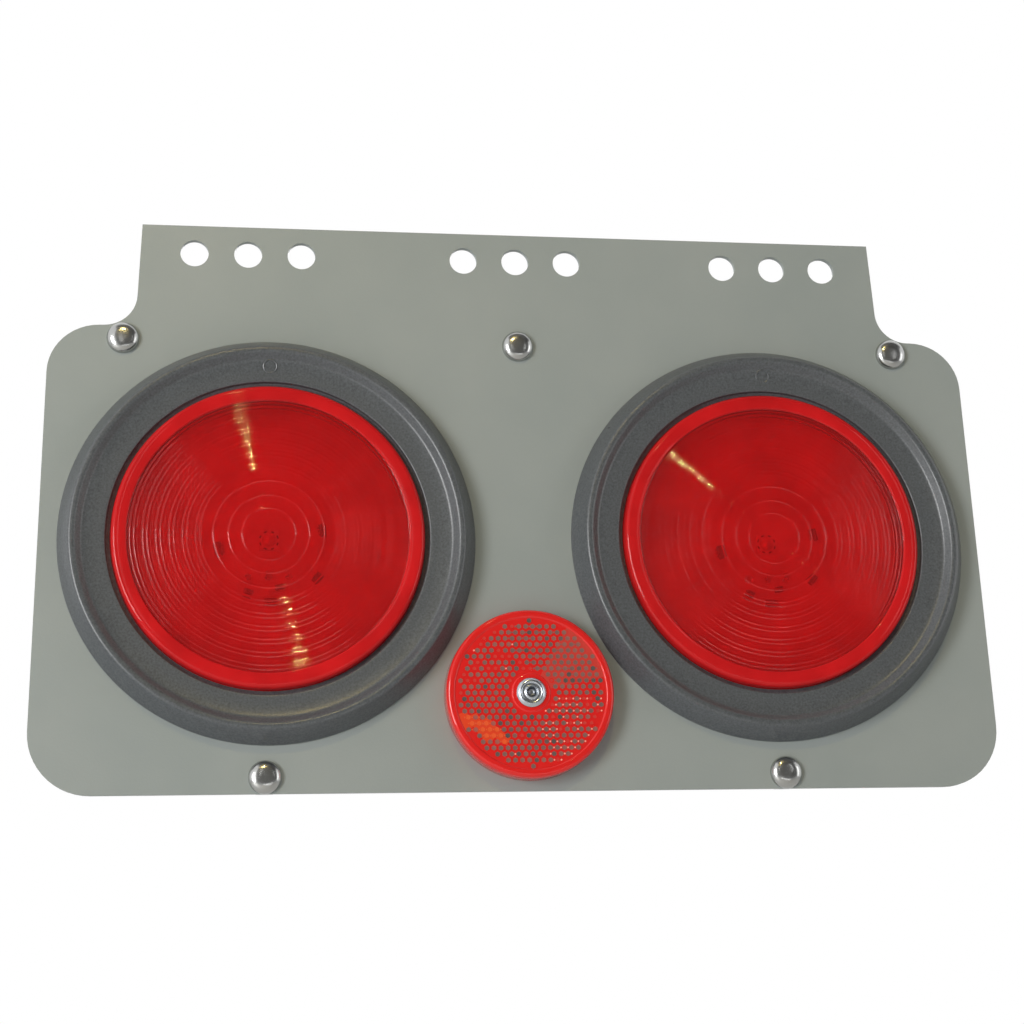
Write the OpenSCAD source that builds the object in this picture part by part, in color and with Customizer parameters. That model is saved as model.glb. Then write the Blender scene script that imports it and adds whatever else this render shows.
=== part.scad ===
// Trailer rear light module: a flat steel face plate with a notched mounting tab, two sealed
// round LED lamps in rubber grommets, a round reflector between them, and a folded steel rear cover.
// Millimetres. X runs to the right, Z runs up, and the front of the plate faces -Y.
// The origin is the middle hole of the tab, on the back face of the plate.

/* [Face plate] */
// Thickness of the face plate
plate_t = 1.9; // [1.2:0.1:3]
// Width of the plate across its shoulders
shoulder_w = 315.2; // [314:0.2:322]
// Width of the plate at its bottom edge
base_w = 320.4; // [314:0.2:328]
// Width of the mounting tab at its top edge
tab_top_w = 255.4; // [250:0.2:258]
// Width of the mounting tab where it meets the shoulders
tab_root_w = 258.6; // [256:0.2:259]
// Height of the tab's top edge above the hole row
tab_edge = 10; // [8:0.5:20]
// Distance from the lamp centres up to the shoulders
shoulder_above = 73.4; // [73:0.2:80]
// Distance from the lamp centres down to the plate's bottom edge
base_below = 83.6; // [83:0.2:100]
// Radius of the two bottom corners
corner_r = 20; // [4:0.5:26]
// Radius of the two shoulder corners
shoulder_r = 17; // [4:0.5:17]
// Radius of the two notch fillets
notch_r = 11; // [3:0.5:11]

/* [Mounting holes] */
// Diameter of the nine tab holes
hole_d = 9.5; // [6:0.1:12]
// Distance between neighbouring holes of a group of three
hole_pitch = 18.1; // [14:0.1:24]
// Distance between the middle holes of neighbouring groups
group_pitch = 92; // [70:0.5:98]

/* [Lamp places] */
// Distance between the two lamp centres
lamp_pitch = 169; // [166:0.2:171]
// Depth of the lamp centres below the hole row. All but the tab moves with them.
lamp_drop = 100; // [94:0.2:112]
// Diameter of the lamp cut-outs in the plate
cutout_d = 114.3; // [113.5:0.1:115]

/* [Grommet] */
// Outer diameter of the grommet's front flange
grommet_d = 136.5; // [133:0.1:138]
// Diameter of the grommet's crest
crest_d = 126.4; // [125:0.1:128]
// Height of the crest above the plate
crest_h = 8.2; // [7:0.1:10]
// Width of the crest's rounded top
crest_w = 1.8; // [1.6:0.1:2.4]
// Diameter where the slope inside the crest meets the dished band
dish_d = 120.4; // [118:0.1:121]
// Height of the dished band at its outer edge
dish_h = 5.8; // [5.2:0.1:6.5]
// Diameter of the throat round the lens
throat_d = 105.2; // [104.4:0.1:106]
// Height of the throat's rounded lip above the plate
throat_h = 5; // [4.4:0.1:5.1]
// Distance that the dished band sags below a straight slope
dish_sag = 0.3; // [0:0.05:0.4]
// Thickness of the flange at its outer edge
flange_edge_t = 0.8; // [0.5:0.1:1.5]
// Diameter of the flange behind the plate
rear_flange_d = 119.4; // [117.5:0.1:120.5]
// Thickness of the flange behind the plate
rear_flange_t = 3; // [2:0.1:4]
// Width of the rounded lip that closes round the lamp behind its flange
rear_lip_w = 3; // [2:0.1:4]
// Distance that this lip stands out behind the flange
rear_lip_out = 1.4; // [0.8:0.1:2]
// Radius of the crest's edges
crest_round = 1.1; // [0.6:0.1:1.1]
// Radius of the front flange's outer edge
flange_round = 0.35; // [0.1:0.05:0.4]
// Radius of the throat's lip
throat_round = 0.7; // [0.3:0.1:0.9]
// Radius of the rear lip's inner edge
rear_inner_round = 0.5; // [0.2:0.1:0.8]
// Radius of the rear lip's outer edge
rear_lip_round = 1.2; // [0.6:0.1:1.4]
// Radius of the rear flange's edge
rear_flange_round = 0.8; // [0.4:0.1:1]

/* [Lens] */
// Diameter of the lens's raised body
lens_d = 101.6; // [100.5:0.1:102]
// Height of the lens rim above the plate
lens_h = 6.8; // [6:0.1:8]
// Radius of the lens's rounded shoulder
lens_shoulder_r = 1.5; // [0.8:0.1:1.8]
// Wall thickness of the lens
lens_wall = 2.2; // [1.6:0.1:2.6]
// Width of the smooth rim round the ringed field
lens_rim_w = 5; // [3:0.1:6.5]
// Depth of the ringed field below the rim
field_step = 0.5; // [0.3:0.1:0.8]
// Rise of the ringed field towards its centre
field_rise = 0.6; // [0:0.1:0.9]
// Radius of the innermost ring
inner_ring_r = 8.7; // [6:0.1:10]
// Radius of the second ring
second_ring_r = 13.1; // [11:0.1:15]
// Radius of the third ring
third_ring_r = 18; // [16:0.1:19.5]
// Radius of the first fine ring
fine_ring_start = 22.2; // [20:0.1:25]
// Distance between the fine rings
fine_ring_pitch = 1.4; // [1.1:0.05:3]
// Height of the rings
ring_h = 0.22; // [0.1:0.01:0.3]
// Draft of the lens's wall from its foot to its shoulder
lens_draft = 0.3; // [0.1:0.05:0.5]

/* [Lamp body] */
// Diameter of the flange that the grommet grips
lamp_flange_d = 109.5; // [109:0.1:110]
// Thickness of the lens's share of that flange
lens_flange_t = 3; // [2.4:0.1:3.4]
// Thickness of the housing's share of that flange
housing_flange_t = 4; // [3:0.1:5]
// Distance from the plate's front face to the top of that flange
flange_top_h = 2.8; // [2.4:0.1:3]
// Diameter of the housing behind its flange
housing_d = 99.4; // [98:0.1:99.8]
// Diameter of the housing at its rear edge
housing_rear_d = 93; // [88:0.5:96]
// Distance from the lens joint to the rear face of the housing
housing_depth = 30; // [24:0.5:36]
// Wall thickness of the housing
housing_wall = 2.2; // [1.6:0.1:3]
// Radius of the housing's rear edge
housing_round = 3; // [2.4:0.1:5]
// Width of the ledge that the circuit board lies on
board_ledge = 1.6; // [1:0.1:2.4]
// Distance from the lens joint to the circuit board's rear face
board_seat = 6; // [5:0.1:8]
// Thickness of the circuit board
board_t = 1.6; // [1:0.1:2]
// Width of the connector socket
socket_w = 22; // [20:0.5:26]
// Height of the connector socket
socket_h = 14; // [12:0.5:16]
// Depth of the connector socket
socket_depth = 12; // [9:0.5:14]
// Distance of the connector below the lamp's centre
socket_drop = 12; // [10:0.5:16]
// Distance that the connector stands out behind the housing
socket_out = 8; // [6:0.5:10]
// Diameter of the three contact pins
pin_d = 2.4; // [1.8:0.1:3]
// Distance between the contact pins
pin_pitch = 6.6; // [5:0.1:7]
// Distance from the socket's mouth to the ends of the pins
pin_recess = 2; // [1:0.5:4]

/* [Light source] */
// Side of the diode's square base
led_base = 6.6; // [5:0.1:8]
// Thickness of the diode's base
led_base_t = 1.1; // [0.8:0.1:1.6]
// Diameter of the diode's dome
led_dome_d = 4.4; // [3.4:0.1:5]
// Distance of the board's other parts from its centre
parts_r = 18; // [16:0.1:22]
// Length of the longest of these parts
part_len = 4.6; // [3.6:0.1:6]
// Width of the widest
part_w = 3.2; // [2.4:0.1:4]
// Height of the highest
part_h = 1.8; // [1.2:0.1:2.4]

/* [Reflector] */
// Diameter of the reflector
reflector_d = 55.6; // [50:0.1:56]
// Distance from the lamp centres down to the reflector's centre
reflector_below = 52.6; // [50:0.2:55]
// Height of the reflector's face above the plate
reflector_h = 7; // [5.5:0.1:9]
// Thickness of the plate that closes the reflector's back
reflector_back_t = 1.5; // [1:0.1:2]
// Wall thickness of the reflector's lens
reflector_wall = 2.4; // [1.8:0.1:3]
// Draft of the reflector's outer wall
reflector_draft = 0.3; // [0.1:0.1:0.8]
// Width of the reflector's smooth rim
reflector_rim_w = 2.6; // [2:0.1:4]
// Radius of the reflector's rounded edge
reflector_round = 1.4; // [0.8:0.1:1.8]
// Depth of the prism field below the rim
prism_step = 0.4; // [0.2:0.1:0.8]
// Width of the flat boss that shows round the rivet
boss_w = 1.2; // [0.8:0.1:3]
// Diameter of the rivet that holds the reflector
rivet_d = 4.8; // [4:0.1:5.6]
// Diameter of the rivet's domed flange
rivet_head_d = 9.8; // [9:0.1:11]
// Height of the rivet's domed flange
rivet_head_h = 1.7; // [1.2:0.1:2.4]
// Diameter of the bulb that the rivet forms behind the plate
bulb_d = 7.1; // [6.4:0.1:8]
// Length of that bulb
bulb_len = 4.8; // [4:0.1:6]
// Radius of the bulb's edge at the plate
bulb_edge_round = 0.6; // [0.3:0.1:0.8]
// Radius of the bulb's shoulder
bulb_shoulder_round = 0.8; // [0.4:0.1:1.2]
// Diameter of the rivet's mandrel
mandrel_d = 2.8; // [2.2:0.1:3]
// Diameter of the mandrel's head behind the bulb
mandrel_head_d = 3.8; // [3.6:0.1:4.4]
// Height of the mandrel's head
mandrel_head_h = 1.4; // [1:0.1:2]

/* [Rear cover] */
// Sheet thickness of the rear cover
cover_t = 1.2; // [0.8:0.1:2]
// Distance from the plate's shoulders to the sides of the rear cover
cover_inset = 9.6; // [9:0.1:11]
// Depth of the rear cover behind the plate
cover_depth = 58; // [52:0.5:70]
// Inner radius of the cover's bends
bend_r = 1; // [0.5:0.1:1.4]
// Distance from the cover's wall to the bolts in its flange
flange_in = 6.5; // [6.5:0.1:7]
// Distance from those bolts to the edge of the flange
flange_out = 4; // [4:0.1:4.6]
// Distance from the cover's sides to the ends of its flanges
flange_inset = 7; // [6:0.1:9]
// Radius of the corners of the flanges
flange_corner_r = 4; // [1:0.5:6]

/* [Cover bolts] */
// Distance from the plate's shoulders to the outer top bolts
top_bolt_edge = 24.3; // [24:0.1:26]
// Distance from the shoulders down to the top bolts
top_bolt_below = 4.6; // [4.5:0.1:4.9]
// Distance from the lamp centres out to the bottom bolts
bottom_bolt_out = 1; // [-9.5:0.5:35]
// Distance from the plate's bottom edge up to the bottom bolts
bottom_bolt_above = 5.2; // [4.6:0.1:7.6]
// Diameter of the bolts
bolt_d = 4.8; // [4:0.1:5]
// Length of the bolts under their heads
bolt_len = 12; // [10:0.5:16]
// Diameter of the bolts' domed heads
bolt_head_d = 10.8; // [9:0.1:12]
// Height of the bolts' domed heads
bolt_head_h = 2.9; // [2:0.1:3.4]
// Width across the flats of the nuts
nut_af = 9.5; // [8.5:0.1:10]
// Height of the nuts
nut_h = 4; // [3:0.1:5]
// Distance that the nuts' chamfers reach inside their flats
nut_chamfer = 0.3; // [0.2:0.05:0.5]

/* [Wire inlet] */
// Distance from the lamp centres down to the wire inlet
inlet_below = 5; // [-10:1:30]
// Diameter of the hole in the rear cover
inlet_hole_d = 22.2; // [18:0.1:24]
// Diameter of the wire inlet grommet
inlet_d = 28.6; // [26:0.1:32]
// Diameter of the bore that the cable passes
inlet_bore_d = 9.5; // [8:0.1:12]
// Thickness of each of the inlet grommet's flanges
inlet_flange_t = 2.4; // [1.6:0.1:3]
// Radius of the rounded edges of its flanges
inlet_round = 1; // [0.5:0.1:1.4]
// Radius of the rounded ends of its bore
inlet_mouth_r = 0.6; // [0.3:0.1:1.2]

/* [Hidden] */
// Clearance between parts that slip together
slip = 0.25;
// Clearance between a hole and the rivet or bolt in it
hole_play = 0.2;
// Overrun of a cutting shape past the face that it cuts
over = 1;
// Share of its radius by which the cut for a rounded corner runs past that corner
spandrel_overrun = 0.02;
// Least distance from the last fine ring to the smooth rim, as a share of the rings' distance
last_ring_gap = 0.6;
$fn = 96;

lamp_x = lamp_pitch / 2;
shoulder_drop = lamp_drop - shoulder_above;
base_drop = lamp_drop + base_below;
reflector_drop = lamp_drop + reflector_below;
inlet_drop = lamp_drop + inlet_below;
cover_w = shoulder_w - 2 * cover_inset;
flange_w = cover_w - 2 * flange_inset;
top_bolt_x = shoulder_w / 2 - top_bolt_edge;
top_bolt_drop = shoulder_drop + top_bolt_below;
bottom_bolt_x = lamp_x + bottom_bolt_out;
bottom_bolt_drop = base_drop - bottom_bolt_above;
flange_front = plate_t + flange_top_h;
lens_joint = flange_front - lens_flange_t;
flange_back = lens_joint - housing_flange_t;
board_back = lens_joint - board_seat;
board_front = board_back + board_t;
board_d = housing_d - 2 * housing_wall - 2 * slip;
housing_back = lens_joint - housing_depth;
socket_back = housing_back - socket_out;
socket_floor = socket_back + socket_depth;
field_r = lens_d / 2 - lens_rim_w;
field_h = lens_h - field_step;
last_ring_r = field_r - last_ring_gap * fine_ring_pitch;
fine_rings = [for (r = [fine_ring_start : fine_ring_pitch : last_ring_r]) r];
ring_radii = concat([0, inner_ring_r, second_ring_r, third_ring_r], fine_rings, [field_r]);
cover_top = -top_bolt_drop - flange_in;
cover_bottom = -bottom_bolt_drop + flange_in;
cover_edge_top = -top_bolt_drop + flange_out;
cover_edge_bottom = -bottom_bolt_drop - flange_out;
bolt_places = [
    [-top_bolt_x, -top_bolt_drop], [0, -top_bolt_drop], [top_bolt_x, -top_bolt_drop],
    [-bottom_bolt_x, -bottom_bolt_drop], [bottom_bolt_x, -bottom_bolt_drop]
];
// Board parts seen through the lens: the angle of each, then its shares of parts_r, of part_len,
// of part_w and of part_h
board_part_places = [
    [12, 0.98, 0.91, 0.75, 0.78], [190, 0.91, 1, 1, 0.89], [249, 1.02, 0.65, 0.56, 0.61],
    [283, 0.89, 0.65, 0.5, 0.61], [322, 1.11, 0.78, 0.62, 0.67], [272, 1.13, 0.96, 0.38, 1]
];

steel_grey = [0.60, 0.61, 0.58];
rubber_black = [0.20, 0.21, 0.22];
lens_red = [0.78, 0.12, 0.12];
housing_black = [0.15, 0.15, 0.16];
board_red = [0.75, 0.12, 0.10];
silicone_clear = [0.92, 0.90, 0.80];
part_black = [0.12, 0.12, 0.12];
brass = [0.80, 0.68, 0.35];
zinc = [0.80, 0.80, 0.80];
mandrel_grey = [0.45, 0.45, 0.46];
back_grey = [0.82, 0.82, 0.80];

// Every piece is drawn lying on its back, with the plate's back face at height 0, and stood up here
module upright() rotate([90, 0, 0]) children();

// Puts a piece at the centre of the left lamp (side -1) or of the right lamp (side 1)
module at_lamp(side) upright() translate([side * lamp_x, -lamp_drop, 0]) children();

// Unit vector from p to q
function toward(p, q) = (q - p) / norm(q - p);

// Turn at corner i of a closed outline: positive where an anticlockwise outline bulges out
function turn(pts, i) = let (n = len(pts), a = pts[(i + n - 1) % n], b = pts[i], c = pts[(i + 1) % n])
    (b[0] - a[0]) * (c[1] - b[1]) - (b[1] - a[1]) * (c[0] - b[0]);

// Closed anticlockwise outline with true arcs: pts gives the sharp corners, radii one radius for each
module arc_outline(pts, radii) {
    n = len(pts);
    difference() {
        union() {
            polygon(pts);
            for (i = [0 : n - 1]) if (radii[i] > 0 && turn(pts, i) < 0) spandrel(pts, i, radii[i]);
        }
        for (i = [0 : n - 1]) if (radii[i] > 0 && turn(pts, i) > 0) spandrel(pts, i, radii[i]);
    }
}

// The bit between a sharp corner and the arc of radius r that rounds it. Its own corner lies a little
// past the outline's, so that no two edges run along each other.
module spandrel(pts, i, r) {
    n = len(pts);
    before = toward(pts[i], pts[(i + n - 1) % n]);
    after = toward(pts[i], pts[(i + 1) % n]);
    half = acos(before * after) / 2;
    inward = toward([0, 0], before + after);
    difference() {
        polygon([pts[i] - inward * r * spandrel_overrun,
            pts[i] + before * r / tan(half), pts[i] + after * r / tan(half)]);
        translate(pts[i] + inward * r / sin(half)) circle(r);
    }
}

// Right half of the plate's corners, from the bottom up, with the radius of each
plate_right = [
    [base_w / 2, -base_drop, corner_r],
    [shoulder_w / 2, -shoulder_drop, shoulder_r],
    [tab_root_w / 2, -shoulder_drop, notch_r],
    [tab_top_w / 2, tab_edge, 0]
];
plate_corners = concat(
    [for (c = plate_right) [c[0], c[1]]],
    [for (i = [len(plate_right) - 1 : -1 : 0]) [-plate_right[i][0], plate_right[i][1]]]
);
plate_radii = concat(
    [for (c = plate_right) c[2]],
    [for (i = [len(plate_right) - 1 : -1 : 0]) plate_right[i][2]]
);

module face_plate() color(steel_grey) upright() linear_extrude(plate_t) difference() {
    arc_outline(plate_corners, plate_radii);
    for (group = [-1 : 1], k = [-1 : 1])
        translate([group * group_pitch + k * hole_pitch, 0]) circle(d = hole_d);
    for (side = [-1, 1]) translate([side * lamp_x, -lamp_drop]) circle(d = cutout_d);
    for (p = bolt_places) translate(p) square(bolt_d + hole_play, center = true);
    translate([0, -reflector_drop]) circle(d = rivet_d + hole_play);
}

// Section of the cover from top to bottom: flange, wall, back, wall, flange
hat_pts = [
    [cover_edge_top, 0], [cover_top - cover_t, 0], [cover_top - cover_t, -cover_depth + cover_t],
    [cover_bottom + cover_t, -cover_depth + cover_t], [cover_bottom + cover_t, 0], [cover_edge_bottom, 0],
    [cover_edge_bottom, -cover_t], [cover_bottom, -cover_t], [cover_bottom, -cover_depth],
    [cover_top, -cover_depth], [cover_top, -cover_t], [cover_edge_top, -cover_t]
];
outer_bend = bend_r + cover_t;
hat_radii = [0, outer_bend, bend_r, bend_r, outer_bend, 0, 0, bend_r, outer_bend, outer_bend, bend_r, 0];

// Section of the cover from side to side: end wall, back, end wall
tray_pts = [
    [-cover_w / 2, 0], [-cover_w / 2, -cover_depth], [cover_w / 2, -cover_depth], [cover_w / 2, 0],
    [cover_w / 2 - cover_t, 0], [cover_w / 2 - cover_t, -cover_depth + cover_t],
    [-cover_w / 2 + cover_t, -cover_depth + cover_t], [-cover_w / 2 + cover_t, 0]
];
tray_radii = [0, outer_bend, outer_bend, 0, 0, bend_r, bend_r, 0];

// Extrudes an outline drawn in depth and height along the whole width of the cover
module across_width()
    translate([-cover_w / 2, 0, 0]) rotate([90, 0, 90]) linear_extrude(cover_w) children();

// Extrudes an outline drawn in width and height off the plate from the upper edge y1 down to y2
module down_from(y1, y2) translate([0, y1, 0]) rotate([90, 0, 0]) linear_extrude(y1 - y2) children();

// Top wall, back and bottom wall with their flanges, cut round at the back edges of the end walls
module cover_hat() difference() {
    intersection() {
        across_width() arc_outline(hat_pts, hat_radii);
        down_from(cover_edge_top + over, cover_edge_bottom - over) arc_outline(
            [
                [-cover_w / 2, -cover_depth], [cover_w / 2, -cover_depth],
                [cover_w / 2, over], [-cover_w / 2, over]
            ],
            [outer_bend, outer_bend, 0, 0]
        );
    }
    // Bend reliefs beside the flanges
    for (side = [0, 1]) mirror([side, 0, 0])
        translate([flange_w / 2, cover_edge_bottom - over, -outer_bend])
            cube([cover_w, cover_edge_top - cover_edge_bottom + 2 * over, outer_bend + over]);
}

// End walls, folded up from the back
module cover_ends() intersection() {
    down_from(cover_top - cover_t, cover_bottom + cover_t) arc_outline(tray_pts, tray_radii);
    across_width() arc_outline(
        [
            [cover_bottom, -cover_depth], [cover_top, -cover_depth],
            [cover_top, over], [cover_bottom, over]
        ],
        [outer_bend, outer_bend, 0, 0]
    );
}

// Rounds the outer corners of the flanges
module flange_corners() for (side = [-1, 1], end = [-1, 1]) {
    corner = [side * flange_w / 2, end > 0 ? cover_edge_top : cover_edge_bottom];
    below = corner - [0, end * 2 * flange_corner_r];
    beside = corner - [side * 2 * flange_corner_r, 0];
    translate([0, 0, -cover_t - over]) linear_extrude(cover_t + 2 * over)
        spandrel([below, corner, beside], 1, flange_corner_r);
}

module rear_cover() color(steel_grey) upright() difference() {
    union() {
        cover_hat();
        cover_ends();
    }
    flange_corners();
    for (p = bolt_places) translate([p[0], p[1], -cover_t - over])
        cylinder(d = bolt_d + hole_play, h = cover_t + 2 * over);
    translate([0, -inlet_drop, -cover_depth - over]) cylinder(d = inlet_hole_d, h = cover_t + 2 * over);
}

// Domed head on a flat base: a slice of a ball that is d across and h high
module dome(d, h) {
    ball_r = (d * d / 4 + h * h) / (2 * h);
    rotate_extrude() intersection() {
        translate([0, h - ball_r]) circle(ball_r);
        square([d, h]);
    }
}

module cover_bolts() color(zinc) upright() for (p = bolt_places) translate([p[0], p[1], plate_t]) {
    dome(bolt_head_d, bolt_head_h);
    translate([0, 0, -plate_t / 2]) cube([bolt_d, bolt_d, plate_t], center = true);
    translate([0, 0, -bolt_len]) cylinder(d = bolt_d, h = bolt_len);
}

// Hexagonal nuts, with both faces turned to a shallow cone that takes their corners off
module cover_nuts() color(zinc) upright() for (p = bolt_places)
translate([p[0], p[1], -cover_t - nut_h]) {
    corner_d = nut_af / cos(30);
    face_r = nut_af / 2 - nut_chamfer;
    cone_r = corner_d / 2 + over;
    cone_h = (cone_r - face_r) / 2;
    difference() {
        intersection() {
            cylinder(d = corner_d, h = nut_h, $fn = 6);
            rotate_extrude() polygon([
                [0, 0], [face_r, 0], [cone_r, cone_h], [cone_r, nut_h - cone_h], [face_r, nut_h], [0, nut_h]
            ]);
        }
        translate([0, 0, -over]) cylinder(d = bolt_d, h = nut_h + 2 * over);
    }
}

// Rubber ring in the cover's back: a groove for the sheet between two round-edged flanges
module wire_inlet_grommet() color(rubber_black) upright() translate([0, -inlet_drop, -cover_depth])
    rotate_extrude() {
        bore_r = inlet_bore_d / 2;
        rim_r = inlet_d / 2;
        neck_r = inlet_hole_d / 2;
        inner_face = cover_t + inlet_flange_t;
        arc_outline(
            [
                [bore_r, -inlet_flange_t], [rim_r, -inlet_flange_t], [rim_r, 0], [neck_r, 0],
                [neck_r, cover_t], [rim_r, cover_t], [rim_r, inner_face], [bore_r, inner_face]
            ],
            [inlet_mouth_r, inlet_round, 0, 0, 0, 0, inlet_round, inlet_mouth_r]
        );
    }

// Moulded rubber ring: it grips the plate in an outer groove and the lamp's flange in an inner one.
// Its section runs down the inside, out along the rear, up the outer groove and back over the front.
module grommet() rotate_extrude() {
    throat_r = throat_d / 2;
    groove_r = lamp_flange_d / 2 + slip;
    rear_lip_r = housing_d / 2 + slip;
    rear_face = flange_back - rear_flange_t;
    rear_r = rear_flange_d / 2;
    flange_r = grommet_d / 2;
    crest_r = crest_d / 2;
    arc_outline(
        [
            [throat_r, flange_front], [groove_r, flange_front], [groove_r, flange_back],
            [rear_lip_r, flange_back], [rear_lip_r, rear_face],
            [rear_lip_r + rear_lip_w, rear_face - rear_lip_out], [rear_r, -rear_flange_t], [rear_r, 0],
            [cutout_d / 2, 0], [cutout_d / 2, plate_t], [flange_r, plate_t],
            [flange_r, plate_t + flange_edge_t],
            [crest_r + crest_w / 2, plate_t + crest_h], [crest_r - crest_w / 2, plate_t + crest_h],
            [dish_d / 2, plate_t + dish_h],
            [(dish_d + throat_d) / 4, plate_t + (dish_h + throat_h) / 2 - dish_sag],
            [throat_r, plate_t + throat_h]
        ],
        [
            0, 0, 0, 0, rear_inner_round, rear_lip_round, rear_flange_round, 0,
            0, 0, 0, flange_round, crest_round, crest_round, 0, 0, throat_round
        ]
    );
}

// Height above the plate of the ringed field's base at radius r
function field_at(r) = field_h + field_rise * (1 - pow(r / field_r, 2));

// Foot and top of the step at each ring, from the rim to the centre
ring_steps = [for (i = [len(ring_radii) - 2 : -1 : 0], top = [0, 1])
    top == 0 ? [ring_radii[i + 1] - ring_h / 2, plate_t + field_at(ring_radii[i + 1]) - ring_h]
             : [ring_radii[i] + (i == 0 ? 0 : ring_h / 2), plate_t + field_at(ring_radii[i])]];

// Sealed lamp's lens: wall, flange, rounded shoulder, smooth rim and a field of raised rings
module lens() rotate_extrude() {
    body_r = lens_d / 2;
    inner_r = body_r - lens_wall;
    inner_h = plate_t + field_h - lens_wall;
    rim_h = plate_t + lens_h;
    arc_outline(
        concat(
            [
                [0, inner_h], [inner_r - lens_draft, inner_h], [inner_r, lens_joint],
                [lamp_flange_d / 2, lens_joint], [lamp_flange_d / 2, flange_front],
                [body_r + lens_draft, flange_front], [body_r, rim_h], [field_r, rim_h]
            ],
            ring_steps
        ),
        concat([0, 0, 0, 0, 0, 0, lens_shoulder_r, 0], [for (step = ring_steps) 0])
    );
}

// Puts a piece at each of the three contacts of the connector
module at_contacts(h) for (k = [-1 : 1]) translate([k * pin_pitch, -socket_drop, h]) children();

// Sealed lamp's housing: flange, tapered cup, ledge for the board, and a connector socket behind
module lamp_housing() {
    seat_r = housing_d / 2 - housing_wall;
    rear_r = housing_rear_d / 2;
    floor_front = housing_back + housing_wall;
    block_w = socket_w + 2 * housing_wall;
    block_h = socket_h + 2 * housing_wall;
    block_front = socket_floor + housing_wall;
    difference() {
        union() {
            rotate_extrude() arc_outline(
                [
                    [0, housing_back], [rear_r, housing_back], [housing_d / 2, flange_back],
                    [lamp_flange_d / 2, flange_back], [lamp_flange_d / 2, lens_joint],
                    [seat_r, lens_joint], [seat_r, board_back], [seat_r - board_ledge, board_back],
                    [rear_r - housing_wall, floor_front], [0, floor_front]
                ],
                [0, housing_round, 0, 0, 0, 0, 0, 0, housing_round - housing_wall, 0]
            );
            translate([0, -socket_drop, (socket_back + block_front) / 2])
                cube([block_w, block_h, block_front - socket_back], center = true);
        }
        translate([0, -socket_drop, (socket_back + socket_floor) / 2 - over])
            cube([socket_w, socket_h, socket_floor - socket_back + 2 * over], center = true);
        at_contacts(socket_floor - over) cylinder(d = pin_d, h = housing_wall + 2 * over);
    }
}

// Round board on the housing's ledge, drilled for the contact pins
module circuit_board() translate([0, 0, board_back]) difference() {
    cylinder(d = board_d, h = board_t);
    at_contacts(-over) cylinder(d = pin_d + hole_play, h = board_t + 2 * over);
}

module led() translate([0, 0, board_front]) {
    translate([0, 0, led_base_t / 2]) cube([led_base, led_base, led_base_t], center = true);
    translate([0, 0, led_base_t]) dome(led_dome_d, led_dome_d / 2);
}

module board_parts() for (p = board_part_places) {
    high = p[4] * part_h;
    rotate(p[0]) translate([p[1] * parts_r, 0, board_front + high / 2])
        cube([p[3] * part_w, p[2] * part_len, high], center = true);
}

// Contact pins: from the socket's mouth through its floor and through the board
module contact_pins() at_contacts(socket_back + pin_recess)
    cylinder(d = pin_d, h = board_front - socket_back - pin_recess);

module left_grommet() color(rubber_black) at_lamp(-1) grommet();
module right_grommet() color(rubber_black) at_lamp(1) grommet();
module left_lens() color(lens_red) at_lamp(-1) lens();
module right_lens() color(lens_red) at_lamp(1) lens();
module left_lamp_housing() color(housing_black) at_lamp(-1) lamp_housing();
module right_lamp_housing() color(housing_black) at_lamp(1) lamp_housing();
module left_circuit_board() color(board_red) at_lamp(-1) circuit_board();
module right_circuit_board() color(board_red) at_lamp(1) circuit_board();
module left_led() color(silicone_clear) at_lamp(-1) led();
module right_led() color(silicone_clear) at_lamp(1) led();
module left_board_parts() color(part_black) at_lamp(-1) board_parts();
module right_board_parts() color(part_black) at_lamp(1) board_parts();
module left_contact_pins() color(brass) at_lamp(-1) contact_pins();
module right_contact_pins() color(brass) at_lamp(1) contact_pins();

// Puts a piece on the front of the plate at the reflector's centre
module at_reflector() upright() translate([0, -reflector_drop, plate_t]) children();

// Radius of the reflector's flat boss round the rivet
boss_r = rivet_head_d / 2 + boss_w;

// Reflector's moulded face: rounded rim, sunk prism field and a flat boss under the rivet
module reflector_lens() color(lens_red) at_reflector() rotate_extrude() {
    outer_r = reflector_d / 2;
    inner_r = outer_r - reflector_wall;
    field_edge = outer_r - reflector_rim_w;
    hole_r = (rivet_d + hole_play) / 2;
    inner_h = reflector_h - reflector_wall;
    sunk_h = reflector_h - prism_step;
    arc_outline(
        [
            [hole_r, 0], [boss_r, 0], [boss_r, inner_h], [inner_r, inner_h], [inner_r, 0], [outer_r, 0],
            [outer_r - reflector_draft, reflector_h], [field_edge, reflector_h],
            [field_edge - prism_step, sunk_h], [boss_r + prism_step, sunk_h], [boss_r, reflector_h],
            [hole_r, reflector_h]
        ],
        [0, 0, 0, 0, 0, 0, reflector_round, 0, 0, 0, 0, 0]
    );
}

// Ring that closes the reflector's back, between its boss and its rim
module reflector_back() color(back_grey) at_reflector() rotate_extrude()
    translate([boss_r + slip, 0])
        square([reflector_d / 2 - reflector_wall - boss_r - 2 * slip, reflector_back_t]);

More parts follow.
